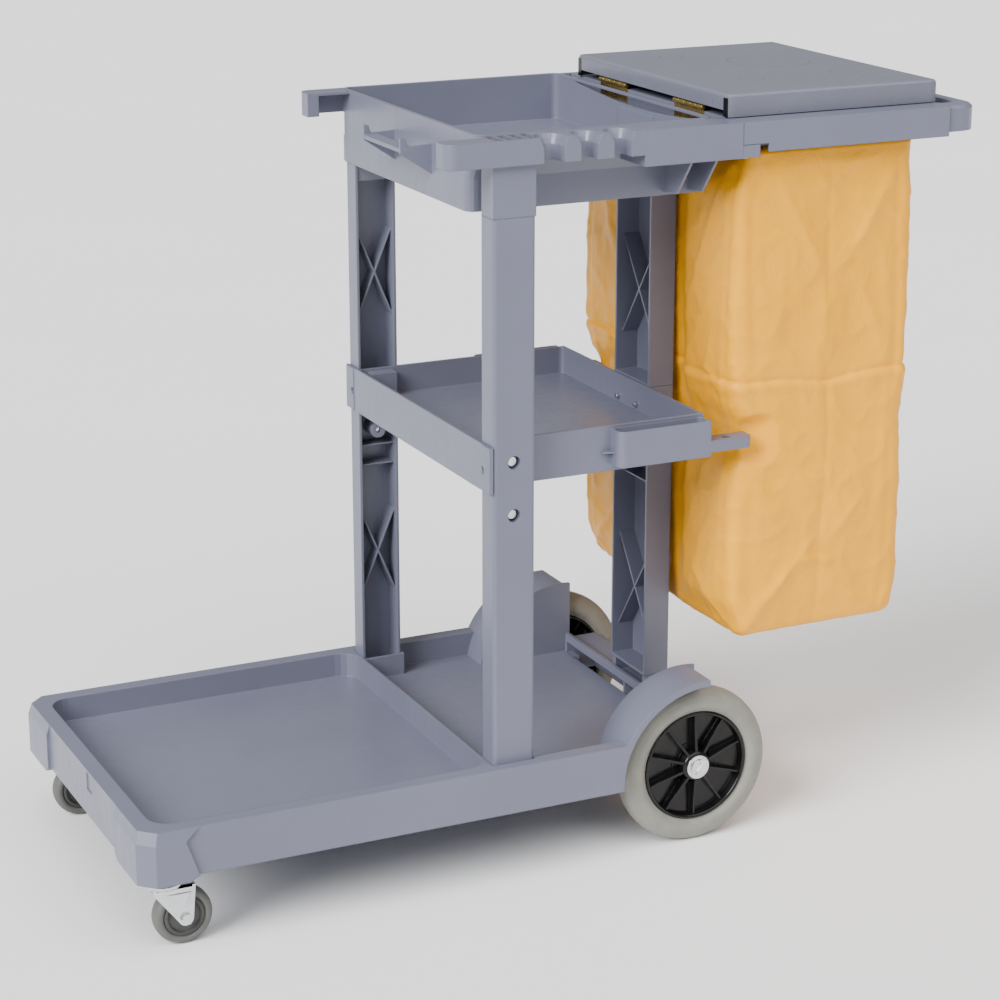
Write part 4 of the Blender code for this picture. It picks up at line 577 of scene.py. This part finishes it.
def bag_lift(face, s, width, z):
    """How far the cloth stands out of its hanging plane, in metres."""
    if z > 0.857:
        return 0.0
    hold = min(1.0, (0.857 - z) / 0.030)
    seed = {"near": 0.0, "far": 31.0, "front": 57.0, "rear": 83.0}[face]
    d = 0.0034 * noise.noise(Vector((s * 11 + seed, z * 5.5, seed)))
    d += 0.0016 * noise.noise(Vector((s * 30 + seed, z * 17, 4.0 + seed)))
    ridged = 1.0 - abs(noise.noise(Vector((s * 24 + z * 9 + seed, z * 19 - s * 6, 9.0 + seed)))) * 2.0
    d += 0.0018 * ridged ** 3
    # the cross fold left from packing, with a dip in the middle, and the upright one
    mid = width / 2
    z_fold = 0.576 - 0.0035 * math.exp(-((s - mid) / 0.035) ** 2) + 0.0020 * math.sin(s * 40 + seed)
    d += -0.0036 * math.exp(-abs(z - z_fold) / 0.0034) + 0.0022 * math.exp(-((z - z_fold + 0.008) / 0.007) ** 2)
    d += -0.0020 * math.exp(-abs(s - mid) / 0.0036)
    folds = NEAR_FOLDS if face in ("near", "far") else SHORT_FOLDS
    for a, b, height, w in folds:
        d += crease((s, z), a, b, height * 1.55, w * 0.72, 1.0)
    # pleats that run up beside each corner
    for off, height in ((0.010, 0.0016), (0.024, -0.0014), (0.034, 0.0012)):
        for edge in (off, width - off):
            d += height * math.exp(-((s - edge - 0.002 * math.sin(z * 23 + seed)) / 0.0045) ** 2) * (0.55 + 0.45 * math.sin(z * 9 + off * 300))
    # belly: a hanging bag is fullest low down
    d += 0.0035 * math.sin(math.pi * min(1.0, max(0.0, s / width))) * math.sin(math.pi * min(1.0, (z - 0.25) / 0.55)) - 0.0030
    limit = 0.0056 if face in ("near", "far") else 0.0036
    return hold * max(-0.0095, min(limit, d))


def clear_of_neighbours(p):
    """The cloth bulges past the rear post on both sides, and is pressed in by the post and the shelf hooks."""
    x, y, z = p
    beside = smooth(abs(y), 0.054, 0.085) * smooth(z, 0.262, 0.300) * smooth(z, 0.842, 0.790)
    hook = smooth(abs(z - 0.505), 0.045, 0.014)
    front = smooth(x, 0.300, 0.240)
    x -= 0.0105 * beside * front * (1 - 0.6 * hook)
    x += 0.0045 * smooth(x, 0.400, 0.455) * smooth(z, 0.262, 0.300) * smooth(z, 0.842, 0.790)
    side = smooth(x, 0.300, 0.252) * hook
    reach = 0.1826 + (0.2070 - 0.1826) * (1 - side)
    y = max(-reach, min(reach, y))
    if abs(y) < 0.050:
        x = max(x, POST_BACK + 0.0012)
    return Vector((x, y, z))


def smooth(v, a, b):
    """0 at a, 1 at b, eased in between."""
    t = max(0.0, min(1.0, (v - a) / (b - a)))
    return t * t * (3 - 2 * t)


def bag_outline(z):
    """Points round the bag at height z, with outward normals and face labels."""
    x0, x1, hw, r = level(z)
    out = []
    nx, ny, nc = 66, 104, 7

    def straight(face, a, b, n, normal, width, start):
        for i in range(n):
            t = i / n
            p = Vector(a).lerp(Vector(b), t)
            s = start(p)
            out.append((p, Vector(normal), face, s, width))

    def corner(cx, cy, a0, face_a, face_b, wa, wb, sa, sb):
        for i in range(nc):
            t = i / nc
            a = a0 + math.pi / 2 * t
            n = Vector((math.cos(a), math.sin(a)))
            p = Vector((cx, cy)) + n * r
            face, w, s = (face_a, wa, sa) if t < 0.5 else (face_b, wb, sb)
            out.append((p, n, face, s, w))

    wx, wy = x1 - x0, 2 * hw
    straight("near", (x0 + r, -hw), (x1 - r, -hw), nx, (0, -1), wx, lambda p: p.x - x0)
    corner(x1 - r, -hw + r, -math.pi / 2, "near", "rear", wx, wy, wx - r * 0.5, r * 0.5)
    straight("rear", (x1, -hw + r), (x1, hw - r), ny, (1, 0), wy, lambda p: p.y + hw)
    corner(x1 - r, hw - r, 0.0, "rear", "far", wy, wx, wy - r * 0.5, wx - r * 0.5)
    straight("far", (x1 - r, hw), (x0 + r, hw), nx, (0, 1), wx, lambda p: p.x - x0)
    corner(x0 + r, hw - r, math.pi / 2, "far", "front", wx, wy, r * 0.5, wy - r * 0.5)
    straight("front", (x0, hw - r), (x0, -hw + r), ny, (-1, 0), wy, lambda p: p.y + hw)
    corner(x0 + r, -hw + r, math.pi, "front", "near", wy, wx, r * 0.5, r * 0.5)
    return out


def waste_bag():
    heights = list(np.linspace(0.2545, 0.560, 92)) + list(np.linspace(0.5632, 0.590, 12))
    heights += list(np.linspace(0.5935, 0.850, 76)) + [0.8535, 0.8555, 0.8572, 0.8582, 0.8590, 0.8650, 0.8750, 0.8850]
    rows = []
    for z in heights:
        row = []
        for p, n, face, s, width in bag_outline(z):
            q = p + n * bag_lift(face, s, width, z)
            sag = 0.0
            if z < 0.33:
                u = min(s, width - s) / (width / 2)
                sag = -0.0022 * u * (0.33 - z) / 0.08
            row.append(Vector((q.x, q.y, z + sag)))
        rows.append(row)
    # corners of the mouth wall follow smoothly: average each row once round
    for k, row in enumerate(rows):
        n = len(row)
        rows[k] = [clear_of_neighbours(row[i] * 0.5 + (row[i - 1] + row[(i + 1) % n]) * 0.25) for i in range(n)]
    bm = bmesh.new()
    loops = [[bm.verts.new(p) for p in row] for row in rows]
    count = len(loops[0])
    for a, b in zip(loops, loops[1:]):
        for i in range(count):
            j = (i + 1) % count
            bm.faces.new((a[i], a[j], b[j], b[i]))
    # floor of the bag: rings drawn in to the middle, with a folded hem round the edge
    cx, cy = 0.352, 0.0
    prev = loops[0]
    for k, f in enumerate((0.985, 0.955, 0.90, 0.80, 0.66, 0.48, 0.28, 0.10)):
        ring = []
        for v in loops[0]:
            x, y = cx + (v.co.x - cx) * f, cy + (v.co.y - cy) * f
            drop = 0.0024 if k else 0.0018
            z = v.co.z - drop + 0.0016 * noise.noise(Vector((x * 22, y * 22, 3.0)))
            z += 0.0022 * math.exp(-abs(abs(x - cx) * 1.75 - abs(y)) / 0.006) * (1 - f)
            ring.append(bm.verts.new((x, y, max(z, 0.2520))))
        for i in range(count):
            j = (i + 1) % count
            bm.faces.new((prev[j], prev[i], ring[i], ring[j]))
        prev = ring
    bm.faces.new(prev)
    ob = new_piece("hanging_bag", bm, VINYL, "cart")
    shell = ob.modifiers.new("thickness", "SOLIDIFY")
    shell.thickness = 0.0009
    shell.offset = -1.0
    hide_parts("waste_bag")

    # turned hem that hangs over the mouth of the frame
    bm = bmesh.new()
    x0, x1, hw, r = level(0.885)
    outline = [(p, n) for p, n, *_ in bag_outline(0.885)]
    hoop = ring_points(0.0, 0.0, 0.0011, 8)
    rings = []
    for p, n in outline:
        rings.append([bm.verts.new((p.x + n.x * (-0.0004 - u * 0.9), p.y + n.y * (-0.0004 - u * 0.9), 0.8858 + v * 1.6)) for u, v in hoop])
    for i in range(len(rings)):
        a, b = rings[i], rings[(i + 1) % len(rings)]
        for j in range(8):
            bm.faces.new((a[j], a[(j + 1) % 8], b[(j + 1) % 8], b[j]))
    new_piece("bag_hem", bm, VINYL, "cart")


for label, side in (("near", -1), ("far", 1)):
    rear_wheel(label, side)
    caster(label)
lid()
waste_bag()

# ---------------------------------------------------------------- floor, light, camera
def floor():
    bm = bmesh.new()
    bmesh.ops.create_grid(bm, x_segments=1, y_segments=1, size=14.0)
    mesh = bpy.data.meshes.new("studio_floor")
    bm.to_mesh(mesh)
    bm.free()
    ob = bpy.data.objects.new("studio_floor", mesh)
    SCENE.collection.objects.link(ob)
    g = Graph("studio_floor")
    g.set("Base Color", g.ramp(g.noise(1.5, 2.0), ((0.3, (0.93, 0.93, 0.932)), (0.7, (0.95, 0.95, 0.95)))))
    g.set("Roughness", 0.85)
    g.set("Specular IOR Level", 0.1)
    mesh.materials.append(g.mat)


def soft_light(name, towards, strength, spread, colour=(1, 1, 1)):
    """A distant studio panel; spread is its apparent width in degrees."""
    data = bpy.data.lights.new(name, "SUN")
    data.energy = strength
    data.angle = math.radians(spread)
    data.color = colour
    ob = bpy.data.objects.new(name, data)
    ob.rotation_mode = "QUATERNION"
    ob.rotation_quaternion = Vector(towards).to_track_quat("-Z", "Y")
    ob.location = -Vector(towards).normalized() * 4.0
    SCENE.collection.objects.link(ob)


def studio():
    world = bpy.data.worlds.new("studio")
    world.use_nodes = True
    back = world.node_tree.nodes["Background"]
    back.inputs["Color"].default_value = (1.0, 1.0, 1.0, 1.0)
    back.inputs["Strength"].default_value = 0.34
    SCENE.world = world
    soft_light("key_left", (0.80, 0.34, -0.56), 5.0, 34)
    soft_light("front_panel", (-0.10, 0.48, -0.88), 2.4, 70)


def camera():
    data = bpy.data.cameras.new("photo_view")
    data.sensor_width = 36.0
    data.lens = 95.84
    data.shift_x = -0.0023
    data.shift_y = -0.0021
    data.clip_start, data.clip_end = 0.05, 60.0
    ob = bpy.data.objects.new("photo_view", data)
    right = Vector((0.903642, -0.428288, 0.0))
    look = Vector((0.409024, 0.863338, -0.295544)).normalized()
    right = (right - look * right.dot(look)).normalized()
    up = right.cross(look)
    turn = Matrix((right, up, -look)).transposed().to_4x4()
    ob.matrix_world = Matrix.Translation((-1.3400, -2.8545, 1.3861)) @ turn
    SCENE.collection.objects.link(ob)
    SCENE.camera = ob


floor()
studio()
camera()
